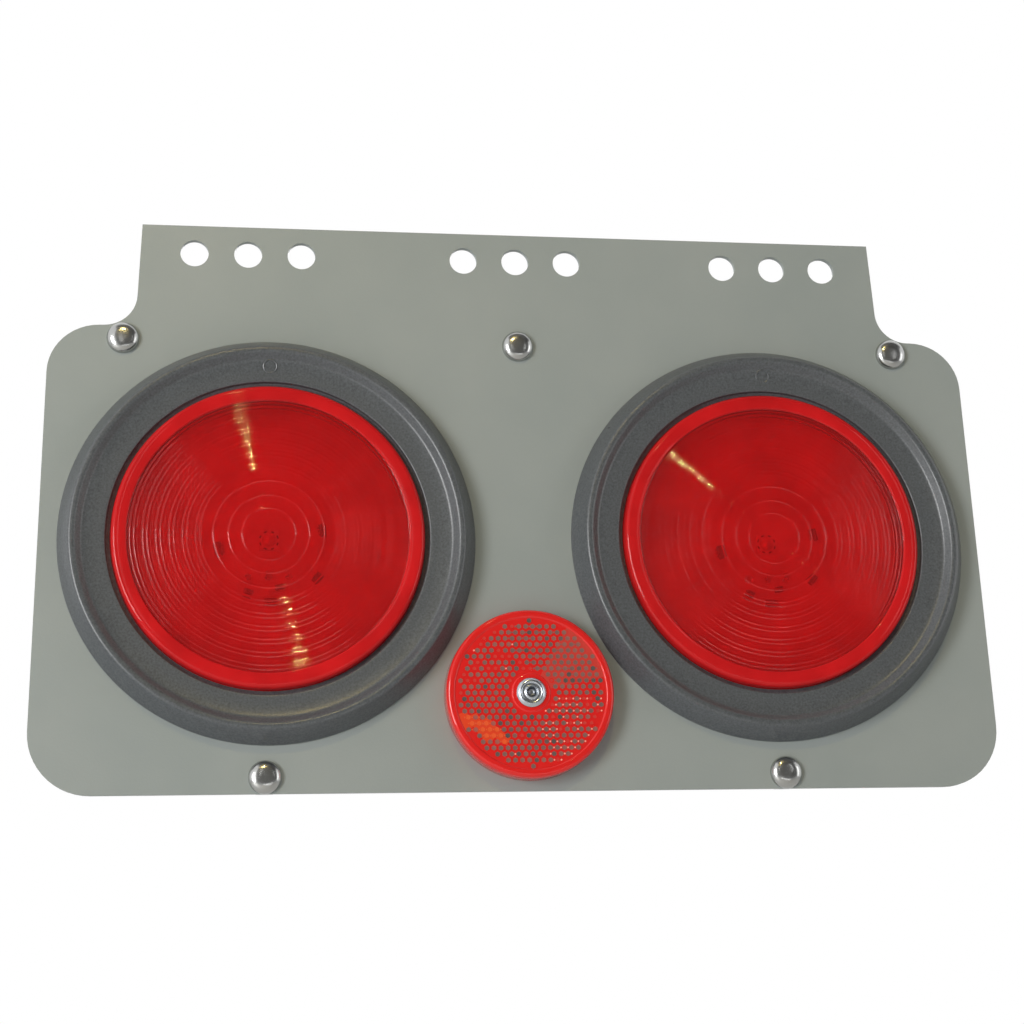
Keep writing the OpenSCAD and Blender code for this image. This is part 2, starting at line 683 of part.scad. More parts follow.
// Blind rivet: domed flange, body through reflector and plate, and the bulb that it forms behind
module reflector_rivet() color(zinc) at_reflector() difference() {
    union() {
        translate([0, 0, reflector_h]) dome(rivet_head_d, rivet_head_h);
        translate([0, 0, -plate_t - over]) cylinder(d = rivet_d, h = reflector_h + plate_t + 2 * over);
        translate([0, 0, -plate_t]) mirror([0, 0, 1]) rotate_extrude() arc_outline(
            [
                [0, 0], [bulb_d / 2, 0], [bulb_d / 2, bulb_len - (bulb_d - mandrel_head_d) / 3],
                [mandrel_head_d / 2, bulb_len], [0, bulb_len]
            ],
            [0, bulb_edge_round, bulb_shoulder_round, 0, 0]
        );
    }
    translate([0, 0, -plate_t - bulb_len - over])
        cylinder(d = mandrel_d, h = plate_t + bulb_len + reflector_h + rivet_head_h + 2 * over);
}

// Mandrel stub left inside the rivet, with its head behind the bulb
module rivet_mandrel() color(mandrel_grey) at_reflector() translate([0, 0, -plate_t - bulb_len]) {
    cylinder(d = mandrel_d, h = plate_t + bulb_len + reflector_h);
    mirror([0, 0, 1]) dome(mandrel_head_d, mandrel_head_h);
}

face_plate();
rear_cover();
cover_bolts();
cover_nuts();
wire_inlet_grommet();
left_grommet();
right_grommet();
left_lens();
right_lens();
left_lamp_housing();
right_lamp_housing();
left_circuit_board();
right_circuit_board();
left_led();
right_led();
left_board_parts();
right_board_parts();
left_contact_pins();
right_contact_pins();
reflector_lens();
reflector_back();
reflector_rivet();
rivet_mandrel();
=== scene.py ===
# %% [markdown]
# # A rear light module for a trailer
# The object is a flat steel plate with a mounting tab. Two round lamps sit in rubber rings, a
# reflector is riveted between them, and a folded cover closes the back. The solids come from a
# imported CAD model, which is the frame here: nothing in it is moved. This lesson dresses it, piece
# by piece, with turned, bevelled and threaded meshes and with materials made of nodes.

# %% Load the frame
import math
import random

import bmesh
import bpy
from mathutils import Matrix, Vector


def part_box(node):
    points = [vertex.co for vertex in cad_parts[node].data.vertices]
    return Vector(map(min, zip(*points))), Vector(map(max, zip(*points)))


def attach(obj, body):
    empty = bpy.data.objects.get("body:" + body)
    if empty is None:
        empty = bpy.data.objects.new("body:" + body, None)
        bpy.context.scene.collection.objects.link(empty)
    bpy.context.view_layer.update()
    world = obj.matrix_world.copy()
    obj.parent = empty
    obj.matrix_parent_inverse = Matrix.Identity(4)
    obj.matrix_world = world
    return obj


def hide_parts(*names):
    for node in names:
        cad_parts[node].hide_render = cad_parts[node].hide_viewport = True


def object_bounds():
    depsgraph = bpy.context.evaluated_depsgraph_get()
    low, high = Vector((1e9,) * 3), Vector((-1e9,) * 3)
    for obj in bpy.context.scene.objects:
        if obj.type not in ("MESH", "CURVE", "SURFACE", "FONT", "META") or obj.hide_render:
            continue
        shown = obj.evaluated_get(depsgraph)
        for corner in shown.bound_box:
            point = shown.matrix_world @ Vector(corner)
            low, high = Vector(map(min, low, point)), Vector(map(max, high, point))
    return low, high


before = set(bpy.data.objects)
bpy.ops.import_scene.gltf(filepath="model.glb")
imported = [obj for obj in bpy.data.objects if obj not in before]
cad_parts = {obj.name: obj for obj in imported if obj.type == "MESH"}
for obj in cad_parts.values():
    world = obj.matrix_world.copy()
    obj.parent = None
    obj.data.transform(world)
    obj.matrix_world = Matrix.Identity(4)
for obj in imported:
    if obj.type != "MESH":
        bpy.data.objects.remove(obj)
cad_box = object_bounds()
print("CAD box:", [tuple(round(c, 4) for c in corner) for corner in cad_box])

# %% [markdown]
# ## Units and places
# Blender works in metres, and a drawing of such a lamp is in millimetres, so profiles below are
# written in millimetres and multiplied by MM. Every place is read from the CAD model's own boxes,
# which keeps each new piece on what carries it. The front of the plate faces -Y, so a height above
# the plate is a step towards -Y.

# %% Units, places and a height helper
MM = 0.001
SIDES = ("left", "right")


def middle_of(node):
    """Middle of a CAD node's box."""
    low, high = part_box(node)
    return (low + high) / 2


plate_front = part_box("face_plate")[0].y
plate_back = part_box("face_plate")[1].y
plate_t = plate_back - plate_front
lamp_places = {side: middle_of(side + "_grommet") for side in SIDES}
for place in lamp_places.values():
    place.y = plate_front
reflector_place = middle_of("reflector_lens")
reflector_place.y = plate_front
print("lamp centres:", lamp_places, "plate thickness:", round(plate_t / MM, 2), "mm")

# %% [markdown]
# ## Finishing a piece
# Each new mesh goes through one function. It makes the object, shades its gentle edges smooth and
# its sharp ones crisp, gives it a material, hangs it on the root body it rides on, and hides the
# CAD node it stands for. On sheet metal a broad flat face must stay flat: if it shared its normals
# with the small bevel at its edge, it would shade in streaks.
# So faces marked as flats keep crisp edges, and the bevel stays smooth by itself.

# %% Turn a bmesh into a finished piece
SHARP_DEG = 32.0
FLAT_DEG = 0.5
FLAT_LAYER = "flat"


def finish_piece(bm, name, node, material, sharp_deg=SHARP_DEG):
    """Object from a bmesh, riding on the root body in place of a CAD node."""
    mesh = bpy.data.meshes.new(name)
    flats = bm.faces.layers.int.get(FLAT_LAYER)
    for face in bm.faces:
        face.smooth = not (flats and face[flats])
    for edge in bm.edges:
        if len(edge.link_faces) == 2:
            by_flat = flats and any(face[flats] for face in edge.link_faces)
            limit = FLAT_DEG if by_flat else sharp_deg
            edge.smooth = edge.calc_face_angle(0.0) < math.radians(limit)
    if flats:
        bm.faces.layers.int.remove(flats)
    bm.to_mesh(mesh)
    bm.free()
    piece = bpy.data.objects.new(name, mesh)
    bpy.context.scene.collection.objects.link(piece)
    materials = material if isinstance(material, (list, tuple)) else [material]
    for each in materials:
        mesh.materials.append(each)
    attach(piece, "root")
    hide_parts(node)
    print(name, "has", len(mesh.polygons), "faces")


# %% [markdown]
# ## Node helpers
# A material is a small graph. A few helpers keep each graph short: one starts a material with a
# Principled shader, one adds noise on Object coordinates at a real grain size, and others turn such
# a pattern into a colour, a gloss or a bump. Object coordinates are metres here, so a noise scale
# of 1000 gives a grain of about a millimetre.

# %% Start a material and add a noise
def new_material(name, color, roughness, metallic=0.0):
    """Material with one Principled shader; returns the material, its node tree and the shader."""
    material = bpy.data.materials.new(name)
    material.use_nodes = True
    tree = material.node_tree
    shader = tree.nodes["Principled BSDF"]
    shader.inputs["Base Color"].default_value = (*color, 1.0)
    shader.inputs["Roughness"].default_value = roughness
    shader.inputs["Metallic"].default_value = metallic
    return material, tree, shader


def object_coordinates(tree):
    """Object coordinates of the piece, in metres."""
    return tree.nodes.new("ShaderNodeTexCoord").outputs["Object"]


def add_noise(tree, grain_mm, detail=2.0, rough=0.5):
    """Noise whose grains are about grain_mm across; returns its value from 0 to 1."""
    noise = tree.nodes.new("ShaderNodeTexNoise")
    noise.inputs["Scale"].default_value = 1.0 / (grain_mm * MM)
    noise.inputs["Detail"].default_value = detail
    noise.inputs["Roughness"].default_value = rough
    tree.links.new(object_coordinates(tree), noise.inputs["Vector"])
    return noise.outputs["Fac"]


# %% Turn a noise into a colour, a gloss or a bump
RAMP_LOW, RAMP_HIGH = 0.3, 0.7


def add_ramp(tree, value, stops):
    """Colour ramp from a value: stops are (position, colour)."""
    ramp = tree.nodes.new("ShaderNodeValToRGB")
    first, last = ramp.color_ramp.elements
    first.position, first.color = stops[0][0], (*stops[0][1], 1.0)
    last.position, last.color = stops[-1][0], (*stops[-1][1], 1.0)
    for position, color in stops[1:-1]:
        ramp.color_ramp.elements.new(position).color = (*color, 1.0)
    tree.links.new(value, ramp.inputs["Fac"])
    return ramp.outputs["Color"]


def add_range(tree, value, low, high):
    """Value from 0..1 mapped to low..high."""
    node = tree.nodes.new("ShaderNodeMapRange")
    node.inputs["To Min"].default_value = low
    node.inputs["To Max"].default_value = high
    tree.links.new(value, node.inputs["Value"])
    return node.outputs["Result"]


def add_bump(tree, shader, height, depth_mm):
    """Bump of a pattern whose full height is depth_mm."""
    bump = tree.nodes.new("ShaderNodeBump")
    bump.inputs["Strength"].default_value = 1.0
    bump.inputs["Distance"].default_value = depth_mm * MM
    tree.links.new(height, bump.inputs["Height"])
    tree.links.new(bump.outputs["Normal"], shader.inputs["Normal"])


# %% [markdown]
# ## Powder coat
# The plate and the rear cover carry a mid-grey powder coat with a touch of green. Powder melts into
# a skin with a fine orange peel, so the finish is a satin Principled shader with two noises: a
# coarse one that drifts the colour a little and a fine one for the peel.

# %% Powder coat
POWDER_GREY = (0.28, 0.31, 0.3)
POWDER_DEEP, POWDER_PALE = (0.266, 0.297, 0.288), (0.294, 0.321, 0.309)
POWDER_MEAN_GLOSS, POWDER_GLOSS = 0.4, (0.34, 0.46)
CLOUD_MM, PEEL_MM, PEEL_DEPTH_MM = 45.0, 0.9, 0.03


def powder_coat():
    """Grey powder coat with orange peel."""
    material, tree, shader = new_material("powder_grey", POWDER_GREY, POWDER_MEAN_GLOSS)
    cloud = add_noise(tree, CLOUD_MM, detail=3.0)
    color = add_ramp(tree, cloud, [(RAMP_LOW, POWDER_DEEP), (RAMP_HIGH, POWDER_PALE)])
    tree.links.new(color, shader.inputs["Base Color"])
    peel = add_noise(tree, PEEL_MM, detail=2.0)
    tree.links.new(add_range(tree, peel, *POWDER_GLOSS), shader.inputs["Roughness"])
    add_bump(tree, shader, peel, PEEL_DEPTH_MM)
    return material


powder = powder_coat()
print("made", powder.name)

# %% [markdown]
# ## Rubber
# The lamps' rings are moulded rubber: a dark blue-grey with a satin skin. The grain of the mould is
# too fine for geometry, so it is a bump, and a slow noise breaks up the gloss, as handling does.

# %% Rubber
RUBBER_BLACK = (0.08, 0.088, 0.095)
RUBBER_DEEP, RUBBER_PALE = (0.05, 0.055, 0.06), (0.105, 0.115, 0.124)
RUBBER_MEAN_GLOSS, RUBBER_GLOSS = 0.34, (0.24, 0.4)
GRAIN_MM, BLOOM_MM, GRAIN_DEPTH_MM = 0.7, 9.0, 0.03


def moulded_rubber():
    """Dark satin rubber with a fine mould grain."""
    material, tree, shader = new_material("rubber_black", RUBBER_BLACK, RUBBER_MEAN_GLOSS)
    grain = add_noise(tree, GRAIN_MM, detail=4.0, rough=0.65)
    color = add_ramp(tree, grain, [(RAMP_LOW, RUBBER_DEEP), (RAMP_HIGH, RUBBER_PALE)])
    tree.links.new(color, shader.inputs["Base Color"])
    bloom = add_noise(tree, BLOOM_MM, detail=4.0, rough=0.6)
    tree.links.new(add_range(tree, bloom, *RUBBER_GLOSS), shader.inputs["Roughness"])
    shader.inputs["Specular IOR Level"].default_value = 0.6
    add_bump(tree, shader, grain, GRAIN_DEPTH_MM)
    return material


rubber = moulded_rubber()
print("made", rubber.name)

# %% [markdown]
# ## Red plastics
# A lamp lens is clear red plastic over a white board, and to the eye it is nearly a solid red in
# which small dark things show dimly. A share of Transmission Weight does both: some of the light
# comes back red from the body, and the rest passes through to the board and back. The smooth rim
# lies over the dark housing and is thicker, so it gets a plastic that lets little through.

# %% Lens and reflector plastics
ACRYLIC_IOR, FLOW_MM = 1.49, 14.0
FLOW_DEEP, FLOW_BRIGHT = 0.86, 1.08


def clear_red(name, color, share_clear, roughness):
    """Glossy red plastic that lets a share of the light through."""
    material, tree, shader = new_material(name, color, roughness)
    shader.inputs["Transmission Weight"].default_value = share_clear
    shader.inputs["IOR"].default_value = ACRYLIC_IOR
    shader.inputs["Specular IOR Level"].default_value = 0.2
    flow = add_noise(tree, FLOW_MM, detail=2.0)
    deep = tuple(c * FLOW_DEEP for c in color)
    bright = tuple(min(1.0, c * FLOW_BRIGHT) for c in color)
    stops = [(RAMP_LOW, deep), (RAMP_HIGH, bright)]
    tree.links.new(add_ramp(tree, flow, stops), shader.inputs["Base Color"])
    return material


lens_plastic = clear_red("lens_red", (0.99, 0.021, 0.024), 0.8, 0.05)
rim_plastic = clear_red("lens_rim_red", (0.6, 0.012, 0.014), 0.1, 0.07)
print("made", lens_plastic.name, rim_plastic.name)

# %% [markdown]
# ## Metals and the parts inside
# Zinc plate, the aluminium rivet, its steel mandrel and the brass pins are bare metals. Each has a
# fine noise in its roughness, because no plated or drawn surface is evenly bright. The dull
# plastics and the circuit board follow the same pattern without the metal.

# %% Metals and dull plastics
METAL_BUMP_MM, SKIN_BUMP_MM = 0.01, 0.015
PALE_GAIN, PALE_LIFT = 1.15, 0.003


def bare_metal(name, color, low, high, grain_mm):
    """Metal whose roughness wanders between two values."""
    material, tree, shader = new_material(name, color, low, metallic=1.0)
    wander = add_noise(tree, grain_mm, detail=4.0, rough=0.6)
    tree.links.new(add_range(tree, wander, low, high), shader.inputs["Roughness"])
    add_bump(tree, shader, wander, METAL_BUMP_MM)
    return material


def dull_plastic(name, color, roughness, grain_mm):
    """Plain moulded plastic with a slightly uneven skin."""
    material, tree, shader = new_material(name, color, roughness)
    skin = add_noise(tree, grain_mm, detail=3.0)
    pale = tuple(min(1.0, c * PALE_GAIN + PALE_LIFT) for c in color)
    stops = [(RAMP_LOW, color), (RAMP_HIGH, pale)]
    tree.links.new(add_ramp(tree, skin, stops), shader.inputs["Base Color"])
    add_bump(tree, shader, skin, SKIN_BUMP_MM)
    return material


zinc = bare_metal("zinc_plate", (0.48, 0.485, 0.475), 0.14, 0.26, 1.2)
aluminium = bare_metal("rivet_aluminium", (0.56, 0.6, 0.65), 0.16, 0.26, 3.0)
mandrel_steel = bare_metal("mandrel_steel", (0.2, 0.21, 0.23), 0.3, 0.5, 0.5)
brass = bare_metal("pin_brass", (0.74, 0.56, 0.25), 0.2, 0.35, 0.8)
housing_plastic = dull_plastic("housing_black", (0.02, 0.02, 0.022), 0.5, 0.8)
board_white = dull_plastic("board_white", (0.72, 0.70, 0.66), 0.45, 1.5)
part_plastic = dull_plastic("part_black", (0.015, 0.015, 0.016), 0.4, 0.5)
silicone = dull_plastic("led_clear", (0.72, 0.68, 0.52), 0.25, 1.0)
back_plastic = dull_plastic("back_grey", (0.55, 0.55, 0.53), 0.5, 1.0)
print("made the metals and plastics")

# %% [markdown]
# ## Turned pieces
# A ring, a lens, a rivet and a cable grommet are all turned about one axis. A turned piece starts
# as a short profile of corners, each a distance from the axis and a height above the plate. A
# vertex bevel rounds the corners that are round on the real piece, and a full spin with merged ends
# closes the shape. The profile is drawn in the plane X-Y, so the axis is Y.

# %% Turn a profile about its axis
TURN_STEPS = 180
MERGE_DIST = 1e-7


def turned(corners, place, steps=TURN_STEPS):
    """bmesh spun from corners: (radius, height, rounding, segments), in millimetres."""
    bm = bmesh.new()
    verts = [bm.verts.new((radius * MM, -height * MM, 0.0)) for radius, height, *_ in corners]
    for a, b in [*zip(verts, verts[1:]), (verts[-1], verts[0])]:
        bm.edges.new((a, b))
    for vert, (_, _, rounding, segments) in zip(verts, corners):
        if rounding > 0.0:
            bmesh.ops.bevel(
                bm, geom=[vert], offset=rounding * MM, offset_type="OFFSET", segments=segments,
                profile=0.5, affect="VERTICES", clamp_overlap=True, material=-1,
            )
    bmesh.ops.spin(
        bm, geom=bm.verts[:] + bm.edges[:], cent=(0.0, 0.0, 0.0), axis=(0.0, 1.0, 0.0),
        dvec=(0.0, 0.0, 0.0), angle=math.tau, steps=steps, use_merge=True,
    )
    bmesh.ops.remove_doubles(bm, verts=bm.verts[:], dist=MERGE_DIST)
    bmesh.ops.dissolve_degenerate(bm, edges=bm.edges[:], dist=MERGE_DIST)
    bmesh.ops.recalc_face_normals(bm, faces=bm.faces[:])
    bmesh.ops.translate(bm, verts=bm.verts[:], vec=place)
    return bm


# %% [markdown]
# ## The grommets
# Each lamp sits in a rubber ring with a groove for the plate and another for the lamp. Only the
# front shows: a steep cone up to a rounded crest, a short slope down inside it, and a shallow dish
# that ends in a lip round the lens. Below that lip a thin rubber seal closes on the lens; it also
# fills, dark, the gap round the lens that lies in shade, so the dark line round it is partly
# painted shade. A small raised circle on the dish stands where a mould maker puts a mark, and it is
# left plain.

# %% Grommet sizes and profile
GROMMET_R = (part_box("left_grommet")[1].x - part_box("left_grommet")[0].x) / 2 / MM
GROOVE_R = 55.0
LIP_R = 52.6
# The seal's dark rubber stands in for the shade in the gap round the lens
SHADE_SEAL_R = 51.25
REAR_LIP_R = 49.95
REAR_R = 59.7
CUTOUT_R = 57.15
PLATE_MM = plate_t / MM

grommet_corners = [
    (LIP_R, 3.6, 0.2, 2), (SHADE_SEAL_R, 3.2, 0.15, 2), (SHADE_SEAL_R, 2.81, 0.0, 0),
    (GROOVE_R, 2.81, 0.0, 0), (GROOVE_R, -4.2, 0.0, 0), (REAR_LIP_R, -4.2, 0.0, 0),
    (REAR_LIP_R, -7.2, 0.5, 3), (REAR_LIP_R + 3.0, -8.6, 0.6, 4),
    (REAR_R, -PLATE_MM - 3.0, 0.7, 3), (REAR_R, -PLATE_MM, 0.0, 0), (CUTOUT_R, -PLATE_MM, 0.0, 0),
    (CUTOUT_R, 0.0, 0.0, 0), (GROMMET_R, 0.0, 0.0, 0), (GROMMET_R, 0.8, 0.3, 3),
    (64.1, 8.2, 0.7, 5), (62.3, 8.2, 0.6, 4), (60.2, 5.8, 0.6, 3), (56.4, 5.1, 2.0, 3),
    (LIP_R, 5.0, 0.5, 4),
]
print("grommet:", round(2 * GROMMET_R, 1), "mm across,", len(grommet_corners), "corners")

# %% Plain circle on the dish
MARK_R, MARK_WIRE_R, MARK_WIRE_POINTS, MARK_STEPS = 2.2, 0.3, 8, 32
MARK_ABOVE, MARK_H, DISH_TILT = 58.0, 5.42, 0.18


def mould_mark(bm, place):
    """Plain raised circle on the dish, above the lens."""
    ring_r, wire_r = MARK_R * MM, MARK_WIRE_R * MM
    before = set(bm.verts)
    section = [
        bm.verts.new((ring_r + wire_r * math.cos(a), 0.0, wire_r * math.sin(a)))
        for a in (math.tau * k / MARK_WIRE_POINTS for k in range(MARK_WIRE_POINTS))
    ]
    edges = [bm.edges.new((a, b)) for a, b in zip(section, section[1:] + section[:1])]
    bmesh.ops.spin(
        bm, geom=section + edges, cent=(0.0, 0.0, 0.0), axis=(0.0, 0.0, 1.0),
        dvec=(0.0, 0.0, 0.0), angle=math.tau, steps=MARK_STEPS, use_merge=True,
    )
    ring = [v for v in bm.verts if v not in before]
    turn = Matrix.Rotation(math.pi / 2 + DISH_TILT, 3, "X")
    bmesh.ops.rotate(bm, verts=ring, cent=(0.0, 0.0, 0.0), matrix=turn)
    bmesh.ops.translate(bm, verts=ring, vec=place + Vector((0.0, -MARK_H * MM, MARK_ABOVE * MM)))
    bmesh.ops.recalc_face_normals(bm, faces=list({f for v in ring for f in v.link_faces}))


# %% Make both grommets
for side in SIDES:
    grommet = turned(grommet_corners, lamp_places[side])
    mould_mark(grommet, lamp_places[side])
    finish_piece(grommet, side + "_rubber_ring", side + "_grommet", rubber)

# %% [markdown]
# ## The lenses
# The face of each lens is a field of raised rings: three far apart round the middle, then fine ones
# out to a smooth rim, of which every third is low, so that the others show as pairs. Rings are real
# ridges here, because each one catches a glint of a small lamp, and a bump wouldn't do that from
# the side. How steep a ridge is decides which lamps it can mirror. The profile is worked out ring
# by ring. Each ridge has a rounded top and a point on the flat just beside its foot, which keeps
# the ground between two rings flat in shading too.

# %% Lens profile
LENS_R = 50.8
LENS_H = 6.8
FIELD_R = 45.8
FIELD_STEP = 0.5
FIELD_RISE = 0.6
WIDE_RINGS = (8.7, 13.1, 18.0)
FINE_START, FINE_PITCH = 22.2, 1.4
WIDE_RIDGE = (0.14, 0.34)
FINE_RIDGE = (0.14, 0.45)
LOW_RIDGE = (0.06, 0.45)
LAST_RING_GAP = 0.6
LENS_CREASE_DEG = 60.0
RIM_FROM = FIELD_R - 0.05
RIDGE_SHAPE = (
    (1.35, 0.0), (1.0, 0.05), (0.5, 0.6), (0.0, 1.0), (-0.5, 0.6), (-1.0, 0.05), (-1.35, 0.0),
)
fine_count = int((FIELD_R - LAST_RING_GAP * FINE_PITCH - FINE_START) / FINE_PITCH) + 1
rings = [(radius, WIDE_RIDGE) for radius in WIDE_RINGS]
rings += [
    (FINE_START + k * FINE_PITCH, LOW_RIDGE if k % 3 == 2 else FINE_RIDGE)
    for k in range(fine_count)
]


def field_height(radius):
    """Height of the ringed field's ground at a distance from the middle."""
    return LENS_H - FIELD_STEP + FIELD_RISE * (1.0 - (radius / FIELD_R) ** 2) - WIDE_RIDGE[0]


lens_corners = [
    (0.0, 4.0, 0.0, 0), (48.3, 4.0, 0.0, 0), (48.6, -0.2, 0.0, 0), (54.75, -0.2, 0.0, 0),
    (54.75, 2.8, 0.0, 0), (51.1, 2.8, 0.0, 0), (LENS_R, LENS_H, 1.5, 6),
    (FIELD_R + 0.2, LENS_H, 0.2, 2), (FIELD_R - 0.1, field_height(FIELD_R), 0.15, 2),
]
for radius, (ridge_h, ridge_half) in reversed(rings):
    for across, up in RIDGE_SHAPE:
        corner_r = radius + across * ridge_half
        lens_corners.append((corner_r, field_height(corner_r) + up * ridge_h, 0.0, 0))
lens_corners.append((0.0, field_height(0.0), 0.0, 0))
print("rings on each lens:", len(rings))

# %% Make both lenses
for side in SIDES:
    lens = turned(lens_corners, lamp_places[side])
    for face in lens.faces:
        offset = (face.calc_center_median() - lamp_places[side]) / MM
        face.material_index = int(math.hypot(offset.x, offset.z) > RIM_FROM)
    finish_piece(
        lens, side + "_ringed_lens", side + "_lens", [lens_plastic, rim_plastic],
        LENS_CREASE_DEG,
    )

# %% [markdown]
# ## Sheet metal and moulded boxes
# The face plate, the cover, the nuts and the lamp housings already have their true shape as CAD
# nodes, but their edges are knife sharp, and no real edge is. A copy of such a node is merged into
# one closed mesh, its flat faces are joined, and its sharp edges get a small bevel, which is what
# catches the light along an edge. A flat with many holes in it can't be one face of a mesh, so each
# flat is filled anew between its borders.

# %% Fill the flats anew
LEAST_FLAT_VERTS, LEAST_FLAT_MM2 = 12, 1.0


def is_large_flat(face):
    """True for a face with many corners and some size."""
    return len(face.verts) > LEAST_FLAT_VERTS and face.calc_area() > LEAST_FLAT_MM2 * MM ** 2


def refill_flats(bm):
    """Replace each large flat face, with its holes, by triangles marked as flats."""
    flats = bm.faces.layers.int.new(FLAT_LAYER)
    bm.normal_update()
    planes = {}
    for face in bm.faces:
        if face.calc_area() > 0.0:
            offset = round(face.normal.dot(face.verts[0].co) / MM, 1)
            plane = (*(round(c, 3) + 0.0 for c in face.normal), offset)
            planes.setdefault(plane, []).append(face)
    for faces in planes.values():
        if not any(is_large_flat(face) for face in faces):
            continue
        inside = set(faces)
        normal = faces[0].normal.copy()
        border = {
            edge for face in faces for edge in face.edges
            if sum(near in inside for near in edge.link_faces) == 1
        }
        border = sorted(border, key=lambda edge: edge.index)
        bmesh.ops.delete(bm, geom=faces, context="FACES_KEEP_BOUNDARY")
        made = bmesh.ops.triangle_fill(
            bm, edges=border, use_beauty=True, use_dissolve=False, normal=normal
        )
        for item in made["geom"]:
            if isinstance(item, bmesh.types.BMFace):
                item[flats] = 1
    bmesh.ops.triangulate(bm, faces=[face for face in bm.faces if len(face.verts) > 4])


# %% Bevelled copy of a CAD node
CAD_MERGE_DIST = 1e-6
JOIN_DEG, KNIFE_DEG = 0.4, 40.0


def merged_node(node):
    """bmesh of a CAD node with its loose triangles merged."""
    bm = bmesh.new()
    bm.from_mesh(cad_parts[node].data)
    bmesh.ops.remove_doubles(bm, verts=bm.verts[:], dist=CAD_MERGE_DIST)
    return bm


def softened(node, width_mm):
    """bmesh of a CAD node with its sharp edges bevelled."""
    bm = merged_node(node)
    bmesh.ops.dissolve_limit(
        bm, angle_limit=math.radians(JOIN_DEG), verts=bm.verts[:], edges=bm.edges[:],
        use_dissolve_boundaries=False, delimit=set(),
    )
    edges = [
        e for e in bm.edges
        if len(e.link_faces) == 2 and e.calc_face_angle(0.0) > math.radians(KNIFE_DEG)
    ]
    bmesh.ops.bevel(
        bm, geom=edges, offset=width_mm * MM, offset_type="OFFSET", segments=2,
        profile=0.5, affect="EDGES", clamp_overlap=True, material=-1,
    )
    bm.edges.index_update()
    refill_flats(bm)
    return bm


# %% Plate, cover, nuts and housings
finish_piece(softened("face_plate", 0.25), "steel_plate", "face_plate", powder)
finish_piece(softened("rear_cover", 0.2), "folded_cover", "rear_cover", powder)
finish_piece(softened("cover_nuts", 0.15), "plated_nuts", "cover_nuts", zinc)
for side in SIDES:
    finish_piece(
        softened(side + "_lamp_housing", 0.25), side + "_moulded_housing", side + "_lamp_housing",
        housing_plastic,
    )

# %% [markdown]
# ## Bolts
# Five carriage bolts hold the cover. Their heads are domes, flatter in the middle than a ball, so
# that they mirror the soft lamp as a crescent near the left rim and the dark room in the middle.
# The square neck that sits in the plate keeps them from turning. The five nuts are one CAD node, so
# the bolts' places are read from its separate solids, found by a walk along the edges of its mesh.

# %% Places of the bolts
def solids_of(node):
    """Points of each separate solid of a CAD node, found by walking its merged mesh."""
    bm = merged_node(node)
    left = set(bm.verts)
    solids = []
    while left:
        island, edge_of_walk = [], [left.pop()]
        while edge_of_walk:
            vert = edge_of_walk.pop()
            island.append(vert.co.copy())
            near = {e.other_vert(vert) for e in vert.link_edges} & left
            left -= near
            edge_of_walk += near
        solids.append(island)
    bm.free()
    return sorted(solids, key=row_order)


def row_order(points):
    """Sort key that goes row by row from below, and from left to right."""
    middle = box_middle(points)
    return round(middle.z, 4), middle.x


def extent(points, direction):
    """Length of a set of points along a direction."""
    reach = [point.dot(direction) for point in points]
    return max(reach) - min(reach)


def box_middle(points):
    """Middle of the box round a set of points."""
    return Vector([(min(p[k] for p in points) + max(p[k] for p in points)) / 2 for k in range(3)])


bolt_places = [box_middle(points) for points in solids_of("cover_nuts")]
print("bolts at", [(round(p.x / MM, 1), round(p.z / MM, 1)) for p in bolt_places])


# %% [markdown]
# ## A thread
# Behind the nut the thread shows, so the shank gets a real one: a short V is spun with a small step
# along the axis at every turn, which is how Blender makes a screw. The V's edges meet from turn to
# turn and are merged. A fan closes each end, so that the thread is a closed solid.

# %% Join meshes and close their ends
def joined(parts):
    """One bmesh from several."""
    whole = bmesh.new()
    for part in parts:
        scratch = bpy.data.meshes.new("scratch")
        part.to_mesh(scratch)
        part.free()
        whole.from_mesh(scratch)
        bpy.data.meshes.remove(scratch)
    return whole


def close_ends(bm):
    """Fans from the open ends of a shape along Y to points on its axis."""
    middle = sum(v.co.y for v in bm.verts) / len(bm.verts)
    open_edges = [e for e in bm.edges if e.is_boundary]
    for end in (0, 1):
        rim = [e for e in open_edges if (e.verts[0].co.y > middle) == bool(end)]
        height = sum(v.co.y for e in rim for v in e.verts) / (2 * len(rim))
        hub = bm.verts.new((0.0, height, 0.0))
        for edge in rim:
            bm.faces.new((*edge.verts, hub))


# %% Spin a thread
THREAD_STEPS, THREAD_MERGE_DIST = 24, 2e-6


def threaded_rod(radius, depth, pitch, start_y, end_y):
    """Helical thread along Y: a V profile spun with a step along the axis."""
    bm = bmesh.new()
    points = [(radius - depth, 0.0), (radius, 0.5 * pitch), (radius - depth, pitch)]
    verts = [bm.verts.new((r * MM, start_y - pitch * MM + y * MM, 0.0)) for r, y in points]
    edges = [bm.edges.new((a, b)) for a, b in zip(verts, verts[1:])]
    turns = int((end_y - start_y) / MM / pitch)
    bmesh.ops.spin(
        bm, geom=verts + edges, cent=(0.0, 0.0, 0.0), axis=(0.0, 1.0, 0.0),
        dvec=(0.0, pitch * MM / THREAD_STEPS, 0.0), angle=math.tau * turns,
        steps=THREAD_STEPS * turns, use_merge=False,
    )
    bmesh.ops.remove_doubles(bm, verts=bm.verts[:], dist=THREAD_MERGE_DIST)
    close_ends(bm)
    bmesh.ops.recalc_face_normals(bm, faces=bm.faces[:])
    return bm


# %% Build one bolt
HEAD_R, HEAD_H, RIM_H, HEAD_STEPS = 5.38, 2.9, 0.3, 16
SHANK_R, THREAD_DEPTH, THREAD_PITCH, RUN_OUT = 2.4, 0.34, 1.06, 0.5
SHANK_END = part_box("cover_bolts")[1].y
CORE_STEPS, DOME_TURN_STEPS, NECK_BEVEL = 48, 64, 0.2


